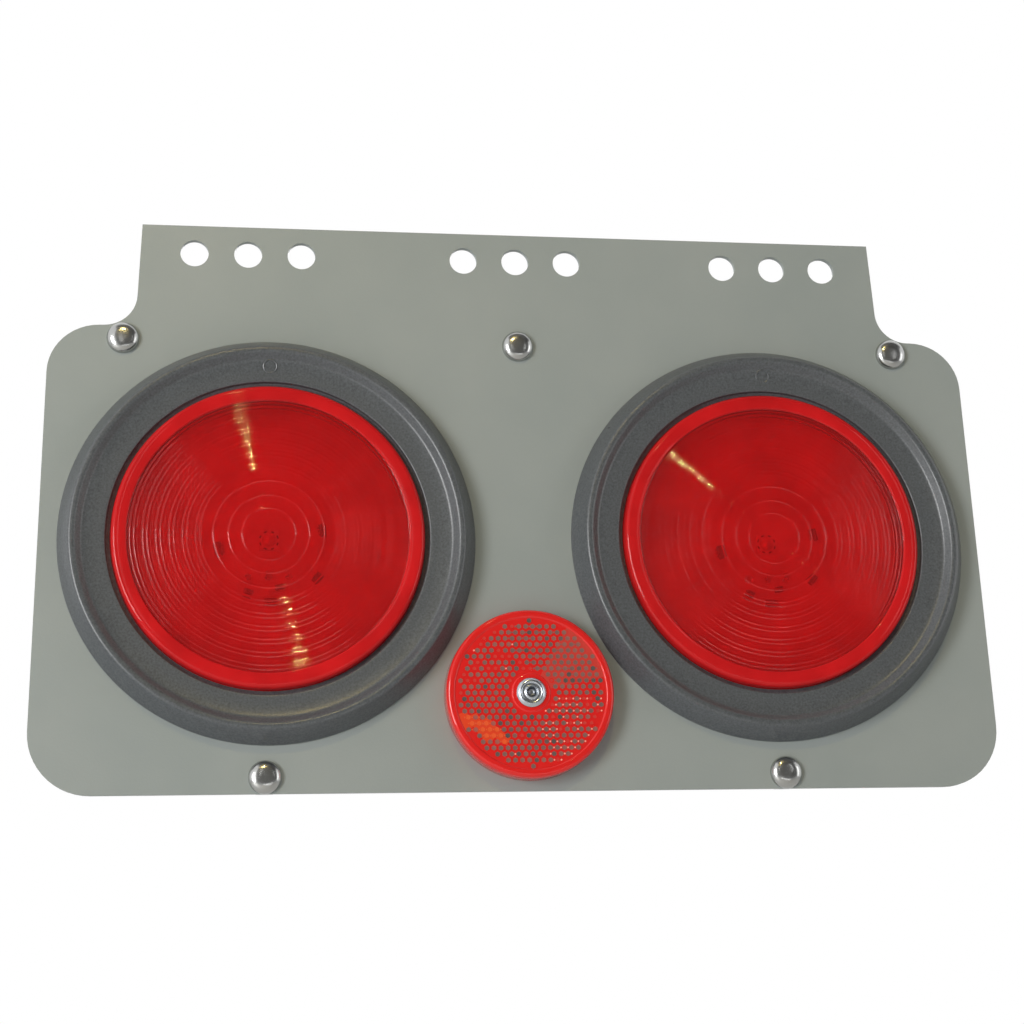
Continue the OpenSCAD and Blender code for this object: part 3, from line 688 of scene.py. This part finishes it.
def carriage_bolt(place):
    """Domed head, square neck, threaded shank."""
    tip = -SHANK_END / MM - PLATE_MM
    core = [
        (0.0, -PLATE_MM, 0.0, 0), (SHANK_R - THREAD_DEPTH, -PLATE_MM, 0.0, 0),
        (SHANK_R - THREAD_DEPTH, tip + RUN_OUT, 0.0, 0),
        (SHANK_R - 2 * THREAD_DEPTH, tip, 0.0, 0), (0.0, tip, 0.0, 0),
    ]
    head = [(0.0, 0.0, 0.0, 0), (HEAD_R, 0.0, 0.0, 0), (HEAD_R, RIM_H, 0.1, 2)]
    for k in range(1, HEAD_STEPS + 1):
        share = math.cos(0.5 * math.pi * k / HEAD_STEPS)
        height = RIM_H + (HEAD_H - RIM_H) * math.sqrt(1.0 - share ** 3)
        head.append((HEAD_R * share, height, 0.0, 0))
    neck = bmesh.new()
    bmesh.ops.create_cube(neck, size=1.0)
    bmesh.ops.scale(neck, vec=(2 * SHANK_R * MM, plate_t, 2 * SHANK_R * MM), verts=neck.verts[:])
    bmesh.ops.bevel(
        neck, geom=neck.edges[:], offset=NECK_BEVEL * MM, offset_type="OFFSET", segments=2,
        profile=0.5, affect="EDGES", clamp_overlap=True, material=-1,
    )
    bmesh.ops.translate(neck, verts=neck.verts[:], vec=(0.0, plate_t / 2, 0.0))
    origin = Vector((0.0, 0.0, 0.0))
    thread = threaded_rod(
        SHANK_R, THREAD_DEPTH, THREAD_PITCH, plate_t, SHANK_END + plate_t - RUN_OUT * MM
    )
    solid_core, dome = turned(core, origin, CORE_STEPS), turned(head, origin, DOME_TURN_STEPS)
    bolt = joined([solid_core, dome, neck, thread])
    bmesh.ops.translate(bolt, verts=bolt.verts[:], vec=(place.x, plate_front, place.z))
    return bolt


# %% Make the five bolts
bolts = joined([carriage_bolt(place) for place in bolt_places])
finish_piece(bolts, "carriage_bolts", "cover_bolts", zinc)

# %% [markdown]
# ## The reflector
# A reflector is a clear red disc whose back is moulded into small six-sided corner cubes. Each
# cube sends light back the way it came, so from most sides it looks grey-brown or dark, and from a
# few it flashes. That returned light is painted here: each face of the disc carries a number, its
# tone, and the material turns that number into a colour, so pale specks are painted glints, orange
# and bright red are painted returned light, and grey-brown and dark are painted shade. A tone is
# stored with the mesh, so it needs no picture and no coordinates.

# %% Reflector plastic
# Tones run from a painted glint, through painted orange and red returned light, to painted dull and
# dark shade
TONE_PAINTED_GLINT, TONE_ORANGE, TONE_RED = 0.0, 0.15, 0.3
TONE_BROWN, TONE_GREY, TONE_DARK = 0.5, 0.7, 1.0
TONE_LAYER = "tone"
REFLECTOR_RED = (0.68, 0.014, 0.012)


def reflector_plastic():
    """Glossy red plastic coloured by each face's tone, which paints the light its cubes send back.
    """
    material, tree, shader = new_material("reflector_red", REFLECTOR_RED, 0.07)
    tone = tree.nodes.new("ShaderNodeAttribute")
    tone.attribute_name = TONE_LAYER
    # The ramp paints returned light: a pale painted glint, orange, red, then duller brown, grey and
    # dark shade
    color = add_ramp(tree, tone.outputs["Fac"], [
        (TONE_PAINTED_GLINT, (0.95, 0.38, 0.30)), (TONE_ORANGE, (0.78, 0.10, 0.022)),
        (TONE_RED, REFLECTOR_RED), (TONE_BROWN, (0.42, 0.095, 0.07)),
        (TONE_GREY, (0.25, 0.112, 0.096)), (TONE_DARK, (0.1, 0.08, 0.075)),
    ])
    tree.links.new(color, shader.inputs["Base Color"])
    shader.inputs["Specular IOR Level"].default_value = 0.5
    add_bump(tree, shader, add_noise(tree, 3.0), 0.005)
    return material


reflector_red = reflector_plastic()
print("made", reflector_red.name)

# %% Reflector sizes
reflector_low, reflector_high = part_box("reflector_lens")
REFLECTOR_R = (reflector_high.x - reflector_low.x) / 2 / MM
REFLECTOR_H = (plate_front - reflector_low.y) / MM
RIM_W, SUNK, BOSS_R, HOLE_R, WALL = 2.6, 0.4, 6.1, 2.5, 2.4
FIELD_H = REFLECTOR_H - SUNK
FIELD_RINGS = (22.0, 19.0, 16.0, 13.0, 10.0)
CELL_PITCH, CELL_R, CELL_UP, CELL_SUNK, PIN_LENGTH = 2.3, 0.85, 0.16, 0.06, 0.5
# The second value is a painted shade: the step by which the tone of a cube's sunk face is darker
FACE_INSET, SUNK_FACE_SHADE, BETWEEN_SIZE = 0.3, 0.07, 0.36
cube_draw = random.Random(11)

disc_corners = [
    (HOLE_R, 0.0, 0.0, 0), (BOSS_R, 0.0, 0.0, 0), (BOSS_R, REFLECTOR_H - WALL, 0.0, 0),
    (REFLECTOR_R - WALL, REFLECTOR_H - WALL, 0.0, 0), (REFLECTOR_R - WALL, 0.0, 0.0, 0),
    (REFLECTOR_R, 0.0, 0.2, 2), (REFLECTOR_R - 0.3, REFLECTOR_H, 1.3, 6),
    (REFLECTOR_R - RIM_W, REFLECTOR_H, 0.2, 2), (REFLECTOR_R - RIM_W - SUNK, FIELD_H, 0.0, 0),
    *[(ring_r, FIELD_H, 0.0, 0) for ring_r in FIELD_RINGS],
    (BOSS_R + SUNK, FIELD_H, 0.0, 0), (BOSS_R, REFLECTOR_H, 0.15, 2),
    (HOLE_R, REFLECTOR_H, 0.0, 0),
]
print("reflector:", round(2 * REFLECTOR_R, 1), "mm across,", round(REFLECTOR_H, 1), "mm high")

# %% [markdown]
# ## The field of cubes
# The cubes are real here: small six-sided pins on a six-sided grid, all rooted in the disc. Their
# tones, which paint the light each cube sends back, come from a seeded draw whose shares differ
# from sector to sector, because the tool that moulds the cubes is made of blocks. A patch at the
# lower left sends back an orange light, which is painted into its tones.

# %% Tones of the field
WARM_X, WARM_Z, WARM_HALF_W, WARM_HALF_H, WARM_SLOPE = -15.5, -11.5, 8.0, 3.2, 0.5
PALE_SLOPE, PALE_SHARE = 0.22, 0.4
# For each sector, the share of cubes painted as shining red and the share painted dark, as in shade
SECTOR_SHARES = ((0.02, 0.12), (0.1, 0.3), (0.3, 0.1), (0.08, 0.2), (0.05, 0.3), (0.28, 0.05))
DULL_TONES = (TONE_BROWN + 0.08, TONE_GREY + 0.05)


def sector_of(x, z):
    """Which of the six blocks of the mould a point of the field lies in."""
    return int((math.degrees(math.atan2(z, x)) % 360.0) / 60.0)


def in_warm_patch(x, z):
    """True in the patch at the lower left whose orange returned light is painted."""
    across, up = x - WARM_X, z - WARM_Z
    return math.hypot(across / WARM_HALF_W, (up + WARM_SLOPE * across) / WARM_HALF_H) < 1.0


def ground_tone(x, z):
    """Tone between the cubes: red, with painted orange returned light in the patch, and painted
    browner in part of one sector.
    """
    if in_warm_patch(x, z):
        return 0.5 * (TONE_ORANGE + TONE_RED)
    if sector_of(x, z) == 0 and z > PALE_SLOPE * x:
        return (1.0 - PALE_SHARE) * TONE_RED + PALE_SHARE * TONE_BROWN
    return TONE_RED


def cube_tone(x, z):
    """Painted tone of one cube, standing for the light it sends back, drawn by the rules of its
    sector.
    """
    shine, dark = SECTOR_SHARES[sector_of(x, z)]
    if in_warm_patch(x, z):
        return cube_draw.choice((TONE_ORANGE, TONE_ORANGE, TONE_BROWN))
    draw = cube_draw.random()
    if draw < shine:
        return TONE_RED
    if draw > 1.0 - dark:
        return cube_draw.uniform(TONE_GREY, TONE_DARK)
    return cube_draw.uniform(*DULL_TONES)


# %% Tones between the cubes
# Angles where the small spots between cubes get a painted glint, and where a painted dull brown
FLASH_ANGLES, FLASH_SHARE = (-75.0, -3.0), 0.7
BROWN_ANGLES, BROWN_SHARE = (20.0, 120.0), 0.3
STRAY_FLASH_SHARE = 0.015


def between_tone(x, z):
    """Painted glint or dull tone of the small spot between two cubes, or None where there is none.
    """
    if in_warm_patch(x, z):
        return TONE_ORANGE
    angle = math.degrees(math.atan2(z, x))
    draw = cube_draw.random()
    if FLASH_ANGLES[0] < angle < FLASH_ANGLES[1] and draw < FLASH_SHARE:
        return TONE_PAINTED_GLINT
    if BROWN_ANGLES[0] < angle < BROWN_ANGLES[1] and draw < BROWN_SHARE:
        return cube_draw.uniform(TONE_BROWN, TONE_GREY)
    return TONE_PAINTED_GLINT if draw > 1.0 - STRAY_FLASH_SHARE else None


# %% One cube
def cube_cell(bm, layer, x, z, radius, tone, top_y):
    """One six-sided pin, rooted in the field, with a slightly sunk face in a painted shade."""
    made = bmesh.ops.create_cone(
        bm, cap_ends=True, segments=6, radius1=radius * MM, radius2=radius * MM,
        depth=PIN_LENGTH * MM,
    )
    faces = list(dict.fromkeys(f for v in made["verts"] for f in v.link_faces))
    for side in faces:
        side[layer] = tone
    face = max(faces, key=lambda f: f.calc_center_median().z)
    inner = bmesh.ops.inset_region(
        bm, faces=[face], thickness=FACE_INSET * radius * MM, depth=-CELL_SUNK * MM
    )
    # Painted shade: the sunk face's tone is a step darker than the pin's sides
    face[layer] = min(TONE_DARK, tone + SUNK_FACE_SHADE) if tone > TONE_ORANGE else tone
    for rim in inner["faces"]:
        rim[layer] = tone
    all_verts = list(dict.fromkeys(v for f in [*faces, *inner["faces"]] for v in f.verts))
    bmesh.ops.rotate(
        bm, verts=all_verts, cent=(0.0, 0.0, 0.0), matrix=Matrix.Rotation(math.pi / 2, 3, "X")
    )
    middle_y = top_y + 0.5 * PIN_LENGTH * MM
    bmesh.ops.translate(bm, verts=all_verts, vec=(x * MM, middle_y, z * MM))


# %% The whole field
def cell_field():
    """All the cubes between the boss and the rim, with small flashes between them."""
    bm = bmesh.new()
    layer = bm.faces.layers.float.new(TONE_LAYER)
    field_top = -(FIELD_H + CELL_UP) * MM
    row_step = CELL_PITCH * math.sqrt(3) / 2
    rows = int(REFLECTOR_R / row_step) + 1
    inner_r = BOSS_R + SUNK + CELL_R
    outer_r = REFLECTOR_R - RIM_W - SUNK - CELL_R
    for row in range(-rows, rows + 1):
        for column in range(-rows, rows + 1):
            x = (column + 0.5 * (row % 2)) * CELL_PITCH
            z = row * row_step
            if inner_r < math.hypot(x, z) < outer_r:
                cube_cell(bm, layer, x, z, CELL_R, cube_tone(x, z), field_top)
            between = x + 0.5 * CELL_PITCH
            if inner_r < math.hypot(between, z) < outer_r:
                tone = between_tone(between, z)
                if tone is not None:
                    cube_cell(bm, layer, between, z, BETWEEN_SIZE * CELL_R, tone, field_top)
    print("field:", len(bm.faces), "faces in its pins")
    return bm


# %% Reflector disc
disc = turned(disc_corners, Vector((0.0, 0.0, 0.0)))
tone_layer = disc.faces.layers.float.new(TONE_LAYER)
for face in disc.faces:
    centre = face.calc_center_median() / MM
    on_field = abs(centre.y + FIELD_H) < 0.01
    face[tone_layer] = ground_tone(centre.x, centre.z) if on_field else TONE_RED
whole = joined([disc, cell_field()])
bmesh.ops.translate(whole, verts=whole.verts[:], vec=reflector_place)
finish_piece(whole, "prism_reflector", "reflector_lens", reflector_red)

# %% [markdown]
# ## The rivet
# A blind rivet holds the reflector. Its flange is a shallow dome with a turned hollow round a
# raised collar, and the broken end of the mandrel sits in the hole in its middle, dark and rough.
# Behind the plate the rivet swells to a bulb, and the mandrel's head closes it.

# %% Rivet and mandrel
RIVET_H = 1.7
RIVET_STEPS, STUB_STEPS = 72, 32
rivet_corners = [
    (1.42, REFLECTOR_H + 0.6, 0.0, 0), (1.42, -PLATE_MM - 4.7, 0.0, 0),
    (1.9, -PLATE_MM - 4.8, 0.0, 0), (3.55, -PLATE_MM - 3.7, 0.7, 3),
    (3.55, -PLATE_MM, 0.5, 3), (2.4, -PLATE_MM, 0.0, 0),
    (2.4, REFLECTOR_H, 0.0, 0), (4.9, REFLECTOR_H, 0.0, 0), (4.9, REFLECTOR_H + 0.35, 0.18, 3),
    (4.0, REFLECTOR_H + 1.1, 0.3, 4), (3.5, REFLECTOR_H + 1.2, 0.2, 3),
    (3.1, REFLECTOR_H + 0.95, 0.4, 4), (2.0, REFLECTOR_H + 1.0, 0.5, 4),
    (1.75, REFLECTOR_H + RIVET_H - 0.1, 0.25, 4),
]
finish_piece(
    turned(rivet_corners, reflector_place, RIVET_STEPS), "blind_rivet", "reflector_rivet",
    aluminium,
)
stub_corners = [
    (0.0, -PLATE_MM - 6.2, 0.0, 0), (1.2, -PLATE_MM - 6.0, 0.2, 2),
    (1.9, -PLATE_MM - 4.8, 0.0, 0), (1.4, -PLATE_MM - 4.8, 0.0, 0),
    (1.4, REFLECTOR_H + 0.2, 0.0, 0), (1.0, REFLECTOR_H + 0.7, 0.1, 2),
    (0.5, REFLECTOR_H + 0.35, 0.1, 2), (0.0, REFLECTOR_H + 0.5, 0.0, 0),
]
finish_piece(
    turned(stub_corners, reflector_place, STUB_STEPS), "mandrel_stub", "rivet_mandrel",
    mandrel_steel,
)

# %% [markdown]
# ## The cable grommet
# Behind, a rubber grommet lines the hole where a cable would enter the cover. It is turned like the
# lamps' rings, with a groove for the sheet and rounded flanges.

# %% Cable grommet
inlet_low, inlet_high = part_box("wire_inlet_grommet")
inlet_place = middle_of("wire_inlet_grommet")
inlet_place.y = plate_front
outer_face = -(inlet_high.y - plate_front) / MM
inner_face = -(inlet_low.y - plate_front) / MM
INLET_R, INLET_NECK_R, INLET_BORE_R, INLET_FLANGE, INLET_STEPS = 14.3, 11.1, 4.75, 2.4, 96
inlet_corners = [
    (INLET_BORE_R, outer_face, 0.6, 3), (INLET_R, outer_face, 1.0, 4),
    (INLET_R, outer_face + INLET_FLANGE, 0.2, 2), (INLET_NECK_R, outer_face + INLET_FLANGE, 0.0, 0),
    (INLET_NECK_R, inner_face - INLET_FLANGE, 0.0, 0), (INLET_R, inner_face - INLET_FLANGE, 0.2, 2),
    (INLET_R, inner_face, 1.0, 4), (INLET_BORE_R, inner_face, 0.6, 3),
]
finish_piece(
    turned(inlet_corners, inlet_place, INLET_STEPS), "cable_grommet", "wire_inlet_grommet",
    rubber,
)

# %% [markdown]
# ## What shows through the lenses
# Each lamp has one diode in the middle of a white board and six small parts round it, which show
# dimly through the red. The diode is a clear dome on a square base, with eight dark pads in a ring.
# The two larger parts are drivers with three legs on each side, and the others are plain parts with
# bright ends. Each takes its place and size from its own CAD solid.

# %% Small box helper
def small_box(bm, centre, size, turn, round_mm, material_index):
    """Box with rounded edges, turned about the Y axis and set at a place."""
    made = bmesh.ops.create_cube(bm, size=1.0)["verts"]
    bmesh.ops.scale(bm, vec=size, verts=made)
    edges = list(dict.fromkeys(e for v in made for e in v.link_edges))
    rounded = bmesh.ops.bevel(
        bm, geom=edges, offset=round_mm * MM, offset_type="OFFSET", segments=2,
        profile=0.5, affect="EDGES", clamp_overlap=True, material=-1,
    )
    verts = list(set(rounded["verts"]) | {v for v in made if v.is_valid})
    for face in {f for v in verts for f in v.link_faces}:
        face.material_index = material_index
    bmesh.ops.rotate(bm, verts=verts, cent=(0.0, 0.0, 0.0), matrix=Matrix.Rotation(-turn, 3, "Y"))
    bmesh.ops.translate(bm, verts=verts, vec=centre)


# %% Diodes
PAD_COUNT, PAD_RING_R = 8, 3.1
PAD_SIZE = (0.5 * MM, 0.16 * MM, 1.1 * MM)
DOME_R, DOME_STEPS, DOME_TURNS = 2.2, 12, 48
BOARD, PAD, SILICONE = 0, 1, 2


def diode(side):
    """Square base, a ring of dark pads and a clear dome."""
    low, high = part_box(side + "_led")
    place = (low + high) / 2
    dome_h = DOME_R * MM
    base_front = low.y + dome_h
    bm = bmesh.new()
    base_size = (high.x - low.x, high.y - base_front, high.z - low.z)
    base_place = Vector((place.x, (base_front + high.y) / 2, place.z))
    small_box(bm, base_place, base_size, 0.0, 0.15, BOARD)
    for k in range(PAD_COUNT):
        angle = math.tau * (k + 0.5) / PAD_COUNT
        spot = Vector((math.cos(angle), 0.0, math.sin(angle))) * PAD_RING_R * MM
        pad_place = Vector((place.x, base_front, place.z)) + spot
        small_box(bm, pad_place, PAD_SIZE, angle, 0.04, PAD)
    dome = [(0.0, 0.0, 0.0, 0)]
    for k in range(DOME_STEPS + 1):
        angle = 0.5 * math.pi * k / DOME_STEPS
        dome.append((DOME_R * math.cos(angle), DOME_R * math.sin(angle), 0.0, 0))
    dome_bm = turned(dome, Vector((place.x, base_front, place.z)), DOME_TURNS)
    for face in dome_bm.faces:
        face.material_index = SILICONE
    return joined([bm, dome_bm])


for side in SIDES:
    finish_piece(
        diode(side), side + "_diode", side + "_led", [board_white, part_plastic, silicone],
    )

# %% Board parts
LEG_COUNT, LEG_PITCH, LEG_W = 3, 1.15, 0.45
# Shares of a part's width, height and length: where legs and bright ends sit, and how big they are
DRIVER_BODY_W, LEG_AT, LEG_LENGTH, LEG_DOWN, LEG_H = 0.56, 0.39, 0.22, 0.3, 0.2
PLAIN_BODY_L, END_AT, END_W, END_H, END_L = 0.62, 0.405, 0.98, 0.96, 0.19
DRIVER_MIN_MM = 4.1
BODY, METAL = 0, 1


def board_part(bm, points, lamp):
    """One part on a board: a driver with legs, or a plain part with bright ends."""
    centre = box_middle(points)
    turn = math.atan2(centre.z - lamp.z, centre.x - lamp.x)
    outward = Vector((math.cos(turn), 0.0, math.sin(turn)))
    along = Vector((-math.sin(turn), 0.0, math.cos(turn)))
    width, length = extent(points, outward), extent(points, along)
    height = extent(points, Vector((0.0, 1.0, 0.0)))
    if length > DRIVER_MIN_MM * MM and width > 0.5 * length:
        small_box(bm, centre, (DRIVER_BODY_W * width, height, length), turn, 0.12, BODY)
        for end in (-1, 1):
            for k in range(LEG_COUNT):
                step = (k - (LEG_COUNT - 1) / 2) * LEG_PITCH * MM
                spot = centre + outward * end * LEG_AT * width + along * step
                spot.y += LEG_DOWN * height
                leg_size = (LEG_LENGTH * width, LEG_H * height, LEG_W * MM)
                small_box(bm, spot, leg_size, turn, 0.04, METAL)
    else:
        small_box(bm, centre, (width, height, PLAIN_BODY_L * length), turn, 0.08, BODY)
        for end in (-1, 1):
            spot = centre + along * end * END_AT * length
            end_size = (END_W * width, END_H * height, END_L * length)
            small_box(bm, spot, end_size, turn, 0.06, METAL)


for side in SIDES:
    parts_bm = bmesh.new()
    for points in solids_of(side + "_board_parts"):
        board_part(parts_bm, points, lamp_places[side])
    finish_piece(
        parts_bm, side + "_drivers", side + "_board_parts", [part_plastic, mandrel_steel],
    )

# %% [markdown]
# ## Pieces that keep their CAD shape
# The boards, the pins and the reflector's back are already right as solids. They stay as they are
# and only get a material in their slots.

# %% Materials on the kept nodes
kept = {"reflector_back": back_plastic}
for side in SIDES:
    kept[side + "_circuit_board"] = board_white
    kept[side + "_contact_pins"] = brass
for node, material in kept.items():
    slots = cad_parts[node].material_slots
    for each in slots:
        each.material = material
    print(node, "has", len(slots), "material slot")

# %% [markdown]
# ## Floor
# The studio is plain. Its pale floor lies well below the module, out of the camera's view, and
# throws a little light back up.

# %% Floor
FLOOR_DROP, FLOOR_HALF_W, FLOOR_GRAIN_MM, FLOOR_GLOSS = 0.5, 3.0, 5.0, (0.58, 0.62)


def pale_floor():
    """Large plain floor below the module."""
    bm = bmesh.new()
    bmesh.ops.create_grid(bm, x_segments=1, y_segments=1, size=FLOOR_HALF_W)
    bmesh.ops.translate(bm, verts=bm.verts[:], vec=(0.0, 0.0, cad_box[0].z - FLOOR_DROP))
    mesh = bpy.data.meshes.new("floor")
    bm.to_mesh(mesh)
    bm.free()
    floor = bpy.data.objects.new("floor", mesh)
    bpy.context.scene.collection.objects.link(floor)
    material, tree, shader = new_material("floor_white", (0.8, 0.8, 0.8), 0.6)
    grain = add_noise(tree, FLOOR_GRAIN_MM)
    tree.links.new(add_range(tree, grain, *FLOOR_GLOSS), shader.inputs["Roughness"])
    mesh.materials.append(material)
    print("floor", FLOOR_DROP, "m below the module")


pale_floor()

# %% [markdown]
# ## Lights
# A broad soft light stands at the front left, and weaker ones at the right, below and behind. Two
# narrow upright lamps draw thin lines on the rings' crests, and two small warm ones, above and
# below, put a row of glints on the ridges of the lenses. Their place sets which slope of a ridge
# mirrors them.

# %% Lights
WHITE, WARM = (1.0, 1.0, 1.0), (1.0, 0.78, 0.3)
object_middle = (cad_box[0] + cad_box[1]) / 2


def area_light(name, place, size, watts, color=WHITE):
    """Rectangular area light turned to the object; size is its width and height."""
    data = bpy.data.lights.new(name, "AREA")
    data.shape = "RECTANGLE"
    data.size, data.size_y = size
    data.energy = watts
    data.color = color
    light = bpy.data.objects.new(name, data)
    light.location = place
    light.rotation_euler = (object_middle - Vector(place)).to_track_quat("-Z", "Y").to_euler()
    bpy.context.scene.collection.objects.link(light)
    print(name, watts, "W")


area_light("soft_left", (-1.3, -1.3, -0.05), (0.5, 0.9), 20.0)
area_light("soft_right", (1.6, -1.0, 0.1), (0.4, 0.9), 2.0)
area_light("front_fill", (0.25, -1.7, -0.75), (0.9, 0.3), 2.5)
area_light("back_fill", (0.4, 1.7, 0.7), (0.9, 0.9), 9.0)
area_light("strip_left", (-0.29, -1.7, 0.33), (0.05, 0.5), 0.2)
area_light("strip_right", (0.83, -1.7, 0.36), (0.05, 0.5), 0.25)
area_light("glint_high", (-0.2, -1.34, 0.96), (0.06, 0.02), 4.2, WARM)
area_light("glint_low", (0.32, -1.48, -0.72), (0.07, 0.02), 1.2, WARM)


# %% [markdown]
# ## Dark cards
# A flat shiny lens mirrors whatever it faces, and in a white room it would look pale. So two dark
# cards stand where the lenses look, in front and above, as a photographer would set them. The
# camera itself doesn't see them.

# %% Dark cards
def dark_card(name, low, high):
    """Dark card between two opposite corners, seen in reflections but not by the camera."""
    bm = bmesh.new()
    bm.faces.new([bm.verts.new(corner) for corner in (
        low, (high.x, low.y, low.z), high, (low.x, high.y, high.z),
    )])
    mesh = bpy.data.meshes.new(name)
    bm.to_mesh(mesh)
    bm.free()
    card = bpy.data.objects.new(name, mesh)
    bpy.context.scene.collection.objects.link(card)
    mesh.materials.append(card_grey)
    card.visible_camera = False
    print(name, "set")


card_grey = dull_plastic("card_grey", (0.18, 0.18, 0.18), 0.9, 8.0)
dark_card("front_card", Vector((-0.85, -1.75, -0.5)), Vector((1.9, -1.75, 1.3)))
dark_card("top_card", Vector((-0.85, -1.75, 1.3)), Vector((1.9, -0.4, 1.5)))

# %% [markdown]
# ## World
# The world lights everything evenly with a soft grey. A Light Path node turns it pure white for
# the camera, in mirrors and through clear plastic, so that the backdrop is white.

# %% World
WORLD_LEVEL = 0.5


def white_world():
    """Even grey light from all round, shown as pure white to the camera and to mirrors."""
    world = bpy.data.worlds.new("studio")
    bpy.context.scene.world = world
    world.use_nodes = True
    tree = world.node_tree
    background = tree.nodes["Background"]
    background.inputs["Color"].default_value = (1.0, 1.0, 1.0, 1.0)
    rays = tree.nodes.new("ShaderNodeLightPath")
    seen = None
    for ray in ("Is Camera Ray", "Is Glossy Ray", "Is Transmission Ray"):
        if seen is None:
            seen = rays.outputs[ray]
            continue
        either = tree.nodes.new("ShaderNodeMath")
        either.operation = "MAXIMUM"
        tree.links.new(seen, either.inputs[0])
        tree.links.new(rays.outputs[ray], either.inputs[1])
        seen = either.outputs[0]
    tree.links.new(add_range(tree, seen, WORLD_LEVEL, 1.0), background.inputs["Strength"])


white_world()
print("world at", WORLD_LEVEL)

# %% [markdown]
# ## Camera
# The camera stands a little to the left of the module and below it, as the photographer did. Its
# place and lens were found by fitting the plate's outline, its nine holes and both rings to the
# photograph, so they are kept as measured numbers.

# %% Camera
CAMERA_LENS_MM, CAMERA_SENSOR_MM = 68.4, 36.0
CAMERA_PLACE = (-0.09752, -0.62606, -0.25989)
CAMERA_TURN_DEG = (105.063, 1.606, -8.129)

camera_data = bpy.data.cameras.new("camera")
camera_data.lens = CAMERA_LENS_MM
camera_data.sensor_width = CAMERA_SENSOR_MM
camera = bpy.data.objects.new("camera", camera_data)
camera.location = CAMERA_PLACE
camera.rotation_euler = [math.radians(a) for a in CAMERA_TURN_DEG]
bpy.context.scene.collection.objects.link(camera)
bpy.context.scene.camera = camera
bpy.context.scene.view_settings.view_transform = "Standard"
print("camera at", CAMERA_PLACE, "with a lens of", CAMERA_LENS_MM, "mm")
